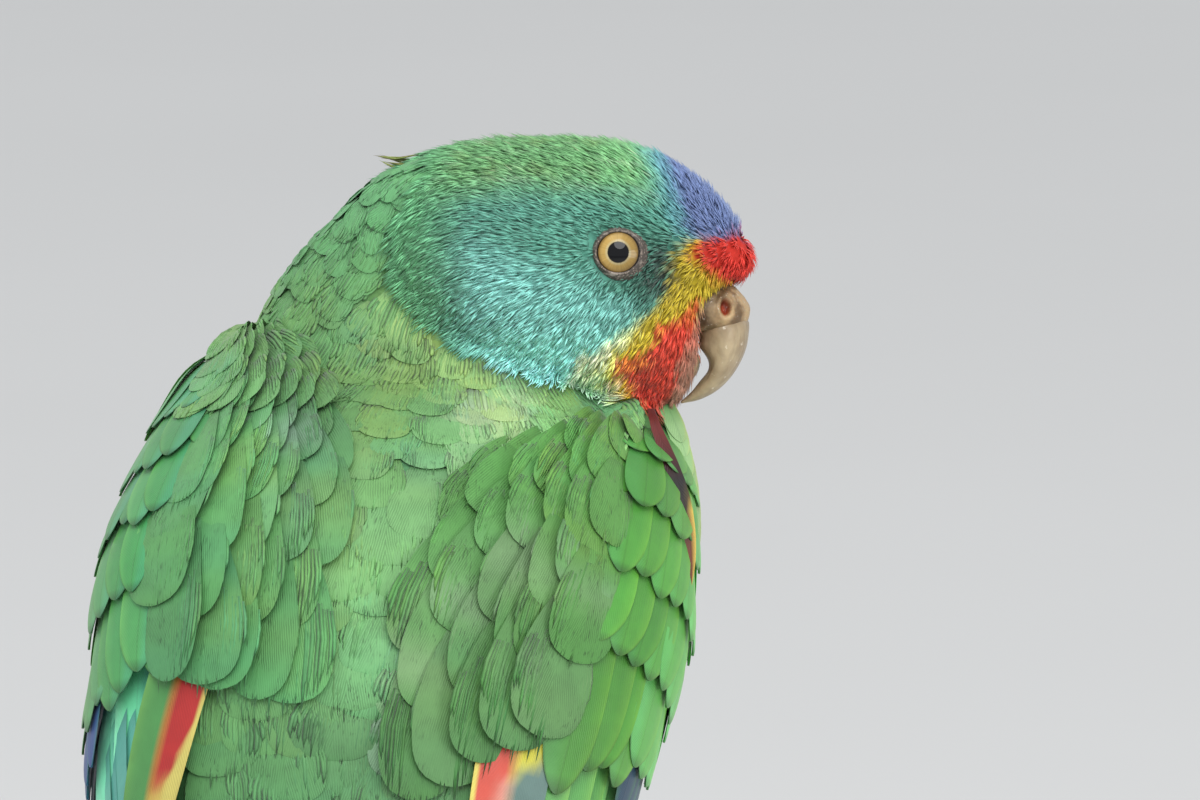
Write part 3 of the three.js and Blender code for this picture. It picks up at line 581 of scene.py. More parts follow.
def skin_object():
    """Head, neck, torso, thighs, the wings' flesh and the tail's root as one closed surface, melted
    together."""
    parts = [
        closed_grid(head_at, np.linspace(-26.4, 15.3, 60), 48, HEAD_COAT),
        closed_grid(neck_at, np.linspace(-6, 26, 34), 48, NECK_COAT),
        closed_grid(torso_at, np.linspace(-9, 83, 60), 56, BODY_COAT),
        closed_grid(tail_core_at, np.linspace(0, 37, 24), 28, 0.4),
        wing_core(-1), wing_core(1),
    ]
    for side in (-1, 1):
        line, radii = thigh_line(side)
        parts.append(tube(line, radii - 1.3, radii - 1.3, 28))
    rough = mesh_piece("skin_parts", parts, STRANDS)
    remesh = rough.modifiers.new("melt", "REMESH")
    remesh.mode, remesh.voxel_size = "VOXEL", 0.85 * MM
    soften = rough.modifiers.new("soften", "SMOOTH")
    soften.factor, soften.iterations = 0.5, 9
    graph = bpy.context.evaluated_depsgraph_get()
    mesh = bpy.data.meshes.new_from_object(rough.evaluated_get(graph))
    bpy.data.objects.remove(rough)
    mesh.name = "skin_body"
    mesh.polygons.foreach_set("use_smooth", np.ones(len(mesh.polygons), bool))
    return place_object("skin_body", mesh)


class Probe:
    """Finds the skin's nearest place to each point, and its way out there, by geometry nodes on loose
    points."""

    def __init__(self, skin):
        self.group = bpy.data.node_groups.new("probe", "GeometryNodeTree")
        for way in ("INPUT", "OUTPUT"):
            self.group.interface.new_socket("Geometry", in_out=way, socket_type="NodeSocketGeometry")
        start, end = self.add("NodeGroupInput"), self.add("NodeGroupOutput")
        surface = self.add("GeometryNodeObjectInfo")
        surface.inputs["Object"].default_value = skin
        normal = self.add("GeometryNodeInputNormal")
        sample = self.add("GeometryNodeSampleNearestSurface", data_type="FLOAT_VECTOR")
        near = self.add("GeometryNodeProximity", target_element="FACES")
        keep = self.add("GeometryNodeStoreNamedAttribute", data_type="FLOAT_VECTOR", domain="POINT")
        keep.inputs["Name"].default_value = "way_out"
        move = self.add("GeometryNodeSetPosition")
        for a, b in (
            (surface.outputs["Geometry"], sample.inputs["Mesh"]), (normal.outputs[0], sample.inputs["Value"]),
            (surface.outputs["Geometry"], near.inputs[0]), (start.outputs[0], keep.inputs["Geometry"]),
            (sample.outputs[0], keep.inputs["Value"]), (keep.outputs[0], move.inputs["Geometry"]),
            (near.outputs["Position"], move.inputs["Position"]), (move.outputs[0], end.inputs[0]),
        ):
            self.group.links.new(a, b)

    def add(self, kind, **settings):
        node = self.group.nodes.new(kind)
        for name, value in settings.items():
            setattr(node, name, value)
        return node

    def __call__(self, points):
        flat = points.reshape(-1, 3)
        mesh = bpy.data.meshes.new("probe")
        add_vertices(mesh, flat)
        cloud = place_object("probe", mesh)
        cloud.modifiers.new("probe", "NODES").node_group = self.group
        found = cloud.evaluated_get(bpy.context.evaluated_depsgraph_get()).data
        place, way = np.empty(len(flat) * 3, np.float32), np.empty(len(flat) * 3, np.float32)
        found.vertices.foreach_get("co", place)
        found.attributes["way_out"].data.foreach_get("vector", way)
        bpy.data.objects.remove(cloud)
        bpy.data.meshes.remove(mesh)
        place, way = (found.astype(float).reshape(points.shape) for found in (place, way))
        return place / MM, unit(way)


SKIN = skin_object()
NEAREST = Probe(SKIN)


def skin_roots(spacing, seed):
    """Roots scattered over the skin: random places by area, thinned to one for each cube of the spacing."""
    mesh = SKIN.data
    mesh.calc_loop_triangles()
    corners = np.empty(len(mesh.loop_triangles) * 3, np.int32)
    mesh.loop_triangles.foreach_get("vertices", corners)
    a, b, c = vertex_places(mesh)[corners.reshape(-1, 3)].transpose(1, 0, 2)
    area = np.linalg.norm(np.cross(b - a, c - a), axis=1) / 2
    draw = np.random.default_rng(seed)
    pick = draw.choice(len(area), int(area.sum() / spacing**2 * 5), p=area / area.sum())
    u, v = draw.uniform(size=(2, len(pick), 1))
    u, v = np.where(u + v > 1, 1 - u, u), np.where(u + v > 1, 1 - v, v)
    points = a[pick] + (b - a)[pick] * u + (c - a)[pick] * v
    cell = np.floor(points / (spacing * 1.12)).astype(int) @ [1, 10007, 10007 * 10009]
    return points[np.unique(cell, return_index=True)[1]]


def depth_in(side, height, place, low, high):
    """How far out a point is in a squared oval: 1 on its surface, and more beyond the ends of its places."""
    beyond = np.maximum(np.maximum(low - place, place - high), 0) * 0.2
    return (np.abs(side) ** SQUARED + np.abs(height) ** SQUARED) ** (1 / SQUARED) + beyond


def in_head(points):
    """The measure of the head's ovals, between the crown line and the chin line."""
    x, y, z = FACE.into(points).T
    crown, chin = HEAD["crown"](x), HEAD["chin"](x)
    middle = mix(chin, crown, HEAD_MIDDLE)
    reach = np.where(z > middle, crown - middle, middle - chin)
    return depth_in(y / HEAD["half"](x), (z - middle) / reach, x, -27, 16)


def in_neck(points):
    """The measure of the neck's ovals, round its bent middle line."""
    x, y, z = BODY.into(points).T
    return depth_in((x - NECK["x"](z)) / NECK["half"](z), (y - NECK["y"](z)) / NECK["depth"](z), z, -6, 26.6)


def in_torso(points):
    """The measure of the torso's ovals, deep by the back or the belly."""
    x, y, z = BODY.into(points).T
    reach = np.where(y < 0, TORSO["back"](-z), TORSO["belly"](-z))
    return depth_in((x - BEND(-z)) / TORSO["half"](-z), y / reach, z, -84, 10)


# ---------- The lie of the coat ----------
# Where the head's feathers point, in its side view: [x, z, x way, z way].
HEAD_LIE = np.array([
    [14, 6, -0.5, 0.85], [10, 10, -0.8, 0.55], [4, 13, -1, 0.2], [-8, 13, -1, 0], [-20, 12, -1, -0.25],
    [-26, 6, -0.6, -0.8], [6, 5, -0.9, 0.35], [11, 1, -0.75, 0.5], [15.6, 0.6, 0.45, -0.9],
    [8, -2, -0.8, -0.5], [9, -6, -0.5, -0.85], [4, -5, -0.7, -0.65], [8, -12, -0.25, -0.97],
    [5, -17, -0.35, -0.93], [0, -8, -0.6, -0.8], [-2, -13, -0.5, -0.85], [-3, -18, -0.3, -0.95],
    [-7, -6, -0.75, -0.65], [-8, -13, -0.55, -0.85], [-12, -9, -0.75, -0.65], [-14, -14, -0.55, -0.85],
    [-10, -2, -1, -0.1], [-10, 3, -0.95, 0.3], [-5, 6, -1, 0.2], [-20, 0, -1, -0.3],
    [-20, -8, -0.75, -0.65], [-25, -2, -0.7, -0.7],
])


def head_lie(points):
    """The mean of the head's known ways, each weighted by a bell of its distance."""
    local = FACE.into(points)
    away = (local[:, None, 0] - HEAD_LIE[:, 0]) ** 2 + (local[:, None, 2] - HEAD_LIE[:, 1]) ** 2
    weight = np.exp(-away / (2 * 3.2**2)) + 1e-9
    way = (weight[..., None] * HEAD_LIE[:, 2:]).sum(1) / weight.sum(1, keepdims=True)
    return unit(way[:, :1] * FACE.axes[0] + way[:, 1:] * FACE.axes[2])


def body_lie(points):
    """Down the spine, fanning out over the shoulders and closing in towards the tail."""
    x, _, z = BODY.into(points).T
    fan = (x - BEND(-z)) * (0.03 * ramp(-20, 6, z) - 0.008 * ramp(-20, -60, z))
    return unit(stack(fan, 0.12 * ramp(-20, 10, z), -np.ones_like(fan)) @ BODY.axes)


def thigh_lie(points):
    """Straight down, and a little back."""
    return np.broadcast_to(unit(np.array([0, -0.15, -1])), points.shape)


def creep(roots, lie, length, steps):
    """Lines over the skin from each root: every step goes along the lie, in the skin's surface, and back onto
    it."""
    place, out = NEAREST(roots)
    way = unit(lie(place))
    way = unit(way - out * dot(way, out))
    places, outs, ways = [place], [out], [way]
    for _ in range(steps):
        way = unit(way * 0.7 + lie(place))
        way = unit(way - out * dot(way, out))
        place, out = NEAREST(place + way * (length / steps)[:, None] + out * 0.3)
        places.append(place)
        outs.append(out)
        ways.append(unit(way - out * dot(way, out)))
    return tuple(np.stack(line, 1) for line in (places, outs, ways))


# ---------- Markings ----------
CROWN_GREEN, OLIVE, PALE_GREEN = (0.20, 0.47, 0.20), (0.28, 0.42, 0.15), (0.50, 0.62, 0.44)
TEAL, TURQUOISE, DEEP_TEAL = (0.130, 0.395, 0.295), (0.30, 0.73, 0.65), (0.09, 0.29, 0.21)
VIOLET, LILAC, SEA_BLUE = (0.16, 0.22, 0.42), (0.36, 0.42, 0.54), (0.135, 0.38, 0.40)
RED, YELLOW, CREAM, MINT = (0.70, 0.045, 0.03), (0.74, 0.57, 0.04), (1.0, 1.0, 0.42), (0.40, 0.68, 0.44)
SKIN_PINK, SOOT, THROAT_RED = (0.50, 0.24, 0.16), (0.045, 0.05, 0.045), (0.82, 0.08, 0.045)
# Each patch of the head in its side view: colour, softness of its edge, corners.
HEAD_PATCHES = [
    (TEAL, 2.4, [(-27, 5), (-12, 7.5), (6, 7), (10, 2), (7, -6), (-2, -20), (-24, -20)]),
    (TURQUOISE, 3.0, [(-18, 1), (-7, -2.8), (1, -5.5), (3.5, -11), (-1, -20), (-18, -20)]),
    (CREAM, 1.0, [(-5, -13.0), (-1.5, -11.6), (2.2, -8.2), (3.4, -11), (-0.6, -15.5), (1.8, -20), (-6, -20)]),
    (DEEP_TEAL, 1.3, [(-2.5, 3.8), (3.2, 4.2), (7.2, 0.5), (6.6, -4.5), (2.5, -6.5), (-1.8, -4.6)]),
    (SEA_BLUE, 1.5, [(2.5, 12.5), (5.2, 4.4), (8.2, 0.6), (16, 0), (17, 8), (6, 16)]),
    (VIOLET, 1.1, [(4.2, 13.5), (6.0, 8.6), (8.2, 1.9), (16, 0), (17, 8), (6, 16)]),
    (LILAC, 0.8, [(4.4, 14), (8, 10.6), (12, 7.3), (15.4, 2.6), (18, 4), (6, 18)]),
    (YELLOW, 0.5, [(7.0, 0.9), (8.8, 1.6), (12.5, -1.5), (13.5, -5.6), (10.4, -6.6), (8.2, -7.6),
                   (3.9, -12.5), (-1, -14.2), (3.6, -18.4), (2.4, -19), (-0.2, -16.6), (-2.4, -14.0),
                   (-1.2, -12.4), (1.2, -11.2), (1.8, -9.4), (3.6, -7.2), (5.0, -5.4), (6.0, -2.9),
                   (6.2, -0.8)]),
    (MINT, 0.7, [(-6.5, -14.4), (-2.6, -14.2), (-0.3, -16.8), (2.4, -18.9), (1.8, -21), (-7, -21)]),
    (RED, 0.45, [(8.4, 0.8), (11.4, 1.9), (18, 2.2), (18, -5), (12.2, -4.0), (9.4, -1.6)]),
    (THROAT_RED, 0.4, [(9.6, -6.0), (5.4, -8.2), (4.0, -9.6), (4.5, -11.4), (1.8, -12.5), (-1.7, -13.9),
                       (0.3, -15.3), (1.0, -16.4), (3.0, -17.6), (4.0, -20), (8.0, -20), (8.5, -14),
                       (9.4, -9.6)]),
    (SKIN_PINK, 0.45, [(9.6, -6.8), (8.4, -9.9), (7.3, -12.3), (6.3, -14.6), (5.9, -16.9), (4.6, -18.6),
                       (5.5, -20), (12, -20), (11, -6)]),
]


def blend_patches(colour, x, z, patches):
    """Paints each patch over the colour with a soft edge."""
    for paint, soft, corners in patches:
        colour = tint(colour, paint, ramp(-soft, soft, inside(corners, x, z)))
    return colour


def head_colour(points):
    """Green crown, teal cheeks, violet brow, red band and throat edged in yellow, and dark specks below the
    eye."""
    local = FACE.into(points)
    x = local[..., 0] + 0.45 * mottle(local, 2.2, 1)
    z = local[..., 2] + 0.45 * mottle(local, 2.2, 2)
    colour = tint(CROWN_GREEN, OLIVE, 0.55 * ramp(0.1, 1.1, mottle(local, 5, 3)))
    colour = tint(colour, PALE_GREEN, 0.5 * ramp(0.4, 1.3, mottle(local * [0.4, 1, 1], 2.6, 4)))
    streaks = ramp(0.85, 1.25, mottle(local * [0.3, 1, 1.6], 1.1, 6)) * ramp(5, 9, z) * ramp(5, 1, x)
    colour = tint(colour, (0.42, 0.46, 0.28), 0.7 * streaks)
    colour = blend_patches(colour, x, z, HEAD_PATCHES)
    colour = tint(colour, (0.21, 0.60, 0.29), ramp(-17, -25, x))
    # Painted light and shade: lit brightens the lower cheek, where the cream and mint tufts under the jaw lie
    # in shade, and the front of the crown, and it darkens a patch beside the bill's root.
    lit = 1 + 0.55 * ramp(-9, -13.5, z) * ramp(3, 0, x) + 0.25 * hump(2, 5, x) * ramp(6, 10, z)
    lit = lit - 0.26 * hump(8.6, 2.6, x) * hump(-3, 3.2, z)
    colour = colour * lit[..., None]
    lores = hump(4.4, 2.3, local[..., 0]) * hump(-2.6, 3.2, local[..., 2])
    lores = lores * ramp(-0.7, 0.3, mottle(local, 0.8, 5))
    return tint(colour, SOOT, np.clip(lores * 1.5, 0, 0.9))


MANTLE, MANTLE_OLIVE, MANTLE_BLUE = (0.14, 0.34, 0.115), (0.20, 0.36, 0.10), (0.12, 0.35, 0.18)
BARE_LILAC, DEEP_GREEN, BREAST_GREEN = (0.42, 0.44, 0.42), (0.08, 0.25, 0.09), (0.26, 0.42, 0.10)
# Patches of the back where pale feather bases show: [x, z, x size, z size] in the face's side view.
BARE_BASES = [(-9.5, -35.5, 3.4, 4.2), (-4.6, -38.5, 2.2, 2.2), (-15.5, -40.5, 2.6, 2.4), (-22, -47, 3, 3.4),
              (-14, -18.5, 4.5, 2.6), (-38, -21, 3, 2)]
# Where the back is brighter or deeper: [x, z, x size, z size, share] in the same view.
TONES = [(-25, -40, 9, 7, 0.2), (-6, -22, 8, 5, 0.6), (-33, -57, 10, 6, -0.42), (-33, -20, 8, 7, -0.26),
         (-25, -11, 7, 6, -0.25), (-32, -1, 7, 5, -0.22), (-43, -21, 5, 6, 0.35), (-38, -51, 5, 5, 0.35),
         (-25, -51, 6, 5, 0.35), (-21, -35, 4, 5, 0.2)]


def body_colour(points):
    """Yellow-green mantle with olive and blue-green blotches, deeper towards the rump, and a yellower
    breast."""
    local = BODY.into(points)
    colour = tint(MANTLE, MANTLE_OLIVE, ramp(0.0, 1.0, mottle(local, 13, 11)))
    colour = tint(colour, MANTLE_BLUE, 0.55 * ramp(0.2, 1.1, mottle(local, 11, 12)))
    colour = tint(colour, DEEP_GREEN, 0.75 * ramp(-22, -48, local[..., 2]))
    colour = tint(colour, BREAST_GREEN, ramp(2, 14, local[..., 1]))
    seen = FACE.into(points)
    behind = ramp(4, -4, local[..., 1])

    def spot(x, z, wide, high):
        return hump(x, wide, seen[..., 0]) * hump(z, high, seen[..., 2]) * behind

    for place in BARE_BASES:
        colour = tint(colour, BARE_LILAC, 0.65 * spot(*place))
    for *place, share in TONES:
        colour = colour * (1 + share * spot(*place)[..., None])
    # A yellower band below the cheek, made brighter than its own colour where the head shades it: partly its
    # own colour and partly painted light.
    below = (seen[..., 0] + 25.2) * 0.67 + (seen[..., 2] + 5.3) * 0.74
    band = hump(-1.5, 2.2, below) * ramp(-30, -24, seen[..., 0]) * ramp(-8, -14, seen[..., 0]) * behind
    colour = tint(colour, (0.36, 0.52, 0.14), 0.75 * band)
    red_vent = ramp(56, 70, -local[..., 2]) * ramp(2, 8, local[..., 1])
    return tint(colour, (0.5, 0.2, 0.05), 0.6 * red_vent)


# ---------- Unwraps ----------
# The size of the patch of the map into which a tuft's colours are baked, round its root's place.
PATCH = 0.003


def body_unwrap(points):
    """The turn round the spine, and the way down it."""
    x, y, z = BODY.into(points).T
    return stack(np.arctan2(x, -y) / TURN + 0.5, np.clip((z + 100) / 135, 0, 1)) * 0.94 + 0.03


def head_unwrap(points):
    """The turn round the head's middle line, and the way along it."""
    x, y, z = FACE.into(points).T
    return stack(np.arctan2(y, z + 1.5) / TURN + 0.5, np.clip((x + 30) / 50, 0, 1)) * 0.94 + 0.03


def bake_patch(unwrap, u, v):
    """Places within a tuft's own patch, u from -1 to 1 across and v from 0 to 1 along it."""
    return unwrap[:, None] + PATCH * stack(u * 0.5, v - 0.5)


# ---------- Feathers ----------
def spike_ring(place, across, out, half, high):
    """Three corners round each place: one to each side, and one raised."""
    corners = [place - across * half, place + out * half * high, place + across * half]
    return np.stack(corners, -2).reshape(-1, 3, 3)


def spikes(rings, tips, tones, bake, flat):
    """Closed three-sided spikes over rings and a tip, each of which has its own colours."""
    colours = np.repeat(np.stack(tones, 1), [3] * len(rings) + [1], 1)
    return loft(np.stack(rings, 1), tips, Plumage=colours, OFBake=bake, Vane=bake * 0 + flat)


def strands(line, colour_of, unwrap, draw, barbs, length, width, spread, lift):
    """Tufts of hair-like barbs: spikes that fan out from each root, dark at the root and bright at the tip.
    Their height over the skin goes from -0.35 to the lift with the share along them to the power 0.75."""
    start = line[0][:, 0]
    line = [np.repeat(part, barbs, 0) for part in line]
    sizes = np.broadcast_arrays(length, width, lift)
    length, width, lift = (np.repeat(size, barbs) for size in sizes)
    count = len(length)
    fan = np.tile(np.linspace(-1, 1, barbs), count // barbs) + draw.normal(0, 0.3, count)
    reach = length * draw.uniform(0.72, 1.12, count) * (1 - 0.2 * np.abs(fan))
    wide = width * draw.uniform(0.8, 1.25, count)
    rise = lift * draw.uniform(0.6, 1.25, count)
    rings = []
    for share, size in ((0.0, 0.75), (0.5, 1.0), (1.0, 0.0)):
        place, out, way = follow(line, share * reach / length)
        across = np.cross(out, way)
        place = place + across * (fan * spread * (0.25 + share))[:, None]
        place = place + out * mix(-0.35, rise, share**0.75)[:, None]
        rings.append(spike_ring(place, across, out, (wide * size * 0.5)[:, None], 0.9))
    root, end = np.repeat(colour_of(start), barbs, 0), colour_of(place)
    vary = draw.uniform(0.88, 1.12, (count, 1))
    # Painted shade: the barbs darken towards the root, where the tufts lie close; they are a little brighter
    # at the tip.
    dim, bright = 0.78, 1.06
    tones = [mix(root, end, 0.3) * dim * vary, mix(root, end, 0.6) * mix(dim, bright, 0.6) * vary,
             end * bright * vary]
    u, v = np.array([-1, 0, 1, -1, 0, 1, 0.0]), np.repeat([0, 0.5, 1], [3, 3, 1])
    bake = bake_patch(np.repeat(unwrap(start), barbs, 0), u * 0.3 + fan[:, None] * 0.4, v)
    return spikes(rings[:2], place, tones, bake, 0)


def vanes(spine, out, across, half, colours, bake_at, columns=5, camber=0.16, thick=0.2):
    """Closed feather vanes: a cambered upper face and a flatter lower one that meet at the rim. The spine,
    its ways out and across and the half widths are [feather, row]. The colours are a function of places
    across and along."""
    count, rows = half.shape
    steps = np.linalg.norm(np.diff(spine, axis=1), axis=2)
    distance = np.concatenate([np.zeros((count, 1)), np.cumsum(steps, 1)], 1)
    u = np.sin(np.linspace(-1, 1, columns) * np.pi / 2)
    ring = np.concatenate([u, u[1:-1][::-1]])
    under = np.concatenate([np.zeros(columns), np.ones(columns - 2)])
    side = half[..., None] * ring
    height = camber * half[..., None] * (1 - ring**2) - under * thick * (1 - ring**2) ** 0.5
    rings = spine[:, :, None] + across[:, :, None] * side[..., None] + out[:, :, None] * height[..., None]
    share = (distance / distance[:, -1:])[..., None]
    bake = bake_at[:, None, None] + PATCH * stack(ring * 0.5 + 0 * side, share - 0.5 + 0 * side)
    flat = (count, rows * len(ring))
    paints = np.broadcast_to(colours(ring[None, None], share), (*side.shape, 3))
    vane = stack(side, distance[..., None] + 0 * side)
    rim = np.broadcast_to((np.abs(ring) == 1) | (np.arange(rows)[:, None] == rows - 1), side.shape)
    return loft(rings, Plumage=paints.reshape(*flat, 3), OFBake=bake.reshape(*flat, 2),
                Vane=vane.reshape(*flat, 2), Rim=rim.reshape(flat))


def follow(line, share):
    """Places, ways out and ways on at shares [feather, ...] of each feather's line [feather, step, xyz]."""
    steps = line[0].shape[1] - 1
    low = np.clip((share * steps).astype(int), 0, steps - 1)
    part = (share * steps - low)[..., None]
    pick = np.arange(len(share)).reshape(-1, *[1] * (share.ndim - 1))
    place, out, way = (mix(item[pick, low], item[pick, low + 1], part) for item in line)
    return place, unit(out), unit(way)


def tipward(rows):
    """Shares from 0 to 1 that crowd towards 1, for a smoothly rounded tip."""
    return 1 - (1 - np.linspace(0, 1, rows)) ** 1.7


TIPWARD = tipward(15)
PLUME_OUTLINE = curve([[0, 0.3], [0.25, 0.7], [0.55, 1.0], [0.8, 0.97], [0.91, 0.8], [0.975, 0.5], [1, 0.15]])


def plumes(line, width, lift, barbs, colour_of, unwrap, draw, sink=0.5, rows=15, columns=5, dusky=0.2):
    """Soft body feathers along lines over the skin, which lie close like shingles: a rounded vane, and
    barbs over it that run from the shaft towards the rim, nearly along the feather, so that the rim frays.
    The height over the skin goes from minus sink to the lift with the share along the feather to the power
    0.4."""
    count = len(line[0])
    width = width * draw.uniform(0.86, 1.14, count)
    roll = draw.normal(0, 0.02, (count, 1))
    swing = draw.normal(0, 0.5, (count, 1))
    rise = (lift * draw.uniform(0.88, 1.12, count))[:, None]
    base = colour_of(line[0][:, 0])
    vary = draw.uniform(0.94, 1.06, (count, 1)) * (1 + draw.normal(0, 0.02, (count, 3)))

    def at(share, sideways, raised):
        """Places on each feather, at a share of its length and a distance from its shaft."""
        place, out, way = follow(line, share)
        across = np.cross(out, way)
        each = (-1, *[1] * (share.ndim - 1))
        shift = swing.reshape(each) * share**2 + sideways
        height = mix(-sink, rise.reshape(each), share**0.4) + roll.reshape(each) * sideways + raised
        return place + across * shift[..., None] + out * height[..., None], out, across

    share = np.broadcast_to(tipward(rows), (count, rows)) * 0.96
    half = 0.5 * width[:, None] * PLUME_OUTLINE(tipward(rows))
    spine, out, across = at(share, 0 * share, 0 * share)

    def vane_colours(ring, along):
        # Painted shade: the vane darkens towards its root, under the feather that overlaps it, and a little
        # at its rim.
        tone = mix(0.8, 0.97, ramp(0.1, 0.6, along)) * (1 - 0.06 * ramp(0.8, 1, np.abs(ring)))
        whole = mix(base[:, None, None], colour_of(spine)[:, :, None], 0.7) * vary[:, None, None]
        return whole * tone[..., None]

    root = unwrap(line[0][:, 0])
    batch = [vanes(spine, out, across, half, vane_colours, root, columns=columns, camber=0.05, thick=0.16)]

    q = np.linspace(-1, 1, barbs)[None] * np.ones((count, 1))
    q = q + draw.normal(0, 0.35 / barbs, q.shape)
    reach = np.sqrt(np.clip(1 - 0.5 * q**2, 0.1, 1)) * (1 + draw.normal(0, 0.045, q.shape))
    start = 0.22 + 0.16 * np.abs(q) + draw.uniform(0, 0.1, q.shape)
    size = 1.2 * width[:, None] / barbs * draw.uniform(0.8, 1.2, q.shape)
    raised = 0.015 + 0.04 * (1 - q**2) * width[:, None] / 4 + draw.normal(0, 0.012, q.shape)
    wave = draw.normal(0, 0.12, q.shape)
    rings = []
    for part, wide in ((0.0, 0.7), (0.4, 1.0), (0.75, 0.85)):
        share = mix(start, reach, part)
        sideways = 0.5 * width[:, None] * q * PLUME_OUTLINE(np.clip(share, 0, 0.78)) + wave * part
        place, out, across = at(share, sideways, raised)
        rings.append(spike_ring(place, across, out, (0.5 * wide * size)[..., None], 0.4))
    sideways = 0.5 * width[:, None] * q * PLUME_OUTLINE(np.clip(reach, 0, 0.78)) * 0.97 + wave
    tips = at(reach, sideways, raised - 0.06)[0].reshape(-1, 3)
    tone = draw.uniform(0.91, 1.09, (len(tips), 1)) * np.repeat(vary, barbs, 0)
    far = colour_of(tips)
    near = mix(np.repeat(base, barbs, 0), far, 0.6)
    dusk = np.where(draw.uniform(size=(len(tips), 1)) < dusky, 0.42, 1.0)
    # Painted shade: the barbs are darker near the root, under the feather above.
    tones = [near * tone * 0.88, near * tone * 0.98, far * tone, far * tone * dusk]
    u = np.array([-1, 0, 1] * 3 + [0.0]) * 0.1 + q.reshape(-1, 1) * 0.85
    v = np.repeat([0.2, 0.5, 0.75, 1.0], [3, 3, 3, 1])
    bake = bake_patch(np.repeat(root, barbs, 0), u, v + 0 * u)
    return batch + [spikes(rings, tips, tones, bake, 9)]


def clear_of_bill(points, grow):
    """True where a point is outside the bill, grown by so much."""
    x, y, z = FACE.into(points).T[..., None]
    line = np.linspace(0, BILL_LENGTH, 40)
    reach = np.hypot(x - BILL["x"](line), z - BILL["z"](line)) / (BILL["thick"](line) + grow)
    return (np.hypot(reach, np.abs(y) / (BILL["half"](line) + grow)) > 1).all(1)


def off_eye(points, bare):
    """How far a point is outside the eye's bare ring, which is wider at its lower front, in the side view."""
    x, _, z = FACE.into(points).T
    x, z = x - 0.2, z + 0.1
    turn = np.arctan2(z, x)
    wider = 0.45 * ramp(-0.3, 1, np.cos(turn + 1.1))
    return np.hypot(x, z) - bare - wider + 0.3 * ramp(0, 1, np.cos(turn - 0.9))


def head_coat():
    """The head's tufts, in a left and a right piece: short round the eye and the bill, longer on the nape."""
    roots = skin_roots(0.8, 21)
    head = in_head(roots)
    local = FACE.into(roots)
    keep = (head < in_neck(roots)) & (head < 1.03) & clear_of_bill(roots, 0.1)
    keep &= (off_eye(roots, BARE_RING) > 0) & (inside(CERE_PATCH, local[:, 0], local[:, 2]) < 0.15)
    roots, local = roots[keep], local[keep]
    near_eye = ramp(0, 4, off_eye(roots, BARE_RING))
    front = ramp(2, 14, local[:, 0])
    length = mix(1.9, mix(3.2, 3.8, ramp(-12, -25, local[:, 0])), near_eye) * (1 - 0.34 * front)
    length = np.where((local[:, 2] < -8) & (local[:, 0] > 0), 3.2, length)
    for name, side in (("right", -1), ("left", 1)):
        chosen = local[:, 1] * side > 0
        draw = np.random.default_rng(30 + side)
        part, size = roots[chosen], length[chosen]
        size = size * draw.uniform(0.85, 1.2, len(part))
        line = creep(part, head_lie, size, 3)
        jaw = ramp(-11, -15, local[chosen, 2]) * ramp(4, 1, local[chosen, 0])
        lift = 0.62 + 0.4 * draw.uniform(0, 1, len(part)) ** 3 + 0.05 * size + 0.15 * (1 - near_eye[chosen])
        lift = lift + 0.7 * jaw
        width = mix(0.22, 0.28, ramp(1.5, 3.4, size))
        batch = strands(line, head_colour, head_unwrap, draw, 6, size, width, 0.6, lift)
        mesh_piece(f"coat_head_{name}", [batch], STRANDS)


def nape_tuft():
    """A few ruffled, yellow-brown feathers that stand out from the nape."""
    draw = np.random.default_rng(95)
    count = 8
    root = stack(*(draw.uniform(*ends, count) for ends in ((-25, -22.5), (-1.8, 1.8), (9.2, 11.4))))
    way = unit(stack(-np.ones(count), draw.uniform(-0.25, 0.25, count), draw.uniform(-0.1, 0.6, count)))
    reach = draw.uniform(3.2, 4.8, count)
    places = FACE.out(root[:, None] + way[:, None] * (reach[:, None] * np.linspace(0, 1, 5))[..., None])
    ways = np.repeat(way[:, None] @ FACE.axes, 5, 1)
    outs = unit(np.cross(ways, FACE.axes[1]))
    batch = strands((places, outs, ways), tuft_colour, head_unwrap, draw, 7, reach, 0.34, 0.55, 0.2)
    mesh_piece("coat_nape_tuft", [batch], STRANDS)


def tuft_colour(points):
    """Brown and yellow-green in small blotches."""
    return tint((0.24, 0.17, 0.07), (0.38, 0.46, 0.14), ramp(-0.4, 0.5, mottle(points, 1.6, 14)))


def neck_lie(points):
    """Backwards and down from the nape, turning into the way down the spine."""
    share = ramp(0, 20, BODY.into(points)[..., 2])[..., None]
    return unit(mix(body_lie(points), head_lie(points), 0.75 * share))


def neck_coat():
    """The neck's small rounded feathers, which grow larger from the nape down to the mantle."""
    roots = skin_roots(2.15, 22)
    neck, head = in_neck(roots), in_head(roots)
    keep = (neck < head + 0.04) & (neck < in_torso(roots) + 0.2) & (neck < 1.12)
    roots = roots[keep]
    draw = np.random.default_rng(40)
    x, _, rise = BODY.into(roots).T
    size = mix(7.4, 5.2, ramp(0, 20, rise)) * draw.uniform(0.85, 1.2, len(roots))
    wide = mix(5.2, 3.4, ramp(0, 20, rise))
    line = creep(roots, neck_lie, size, 5)
    lift = 0.42 + 0.16 * draw.uniform(0, 1, len(roots)) ** 2 + 0.9 * hump(8, 4, rise) * ramp(-15, -19, x)
    batches = plumes(line, wide, lift, 10, neck_colour, body_unwrap, draw, rows=9, columns=4, dusky=0.3)
    mesh_piece("coat_neck", batches, SOFT_VANES)


def neck_colour(points):
    """The head's green at the nape, running into the mantle."""
    rise = BODY.into(points)[..., 2]
    green = np.array((0.118, 0.34, 0.138)) * (1 + 0.12 * mottle(points, 4, 13)[..., None])
    return tint(body_colour(points), green, ramp(6, 20, rise))


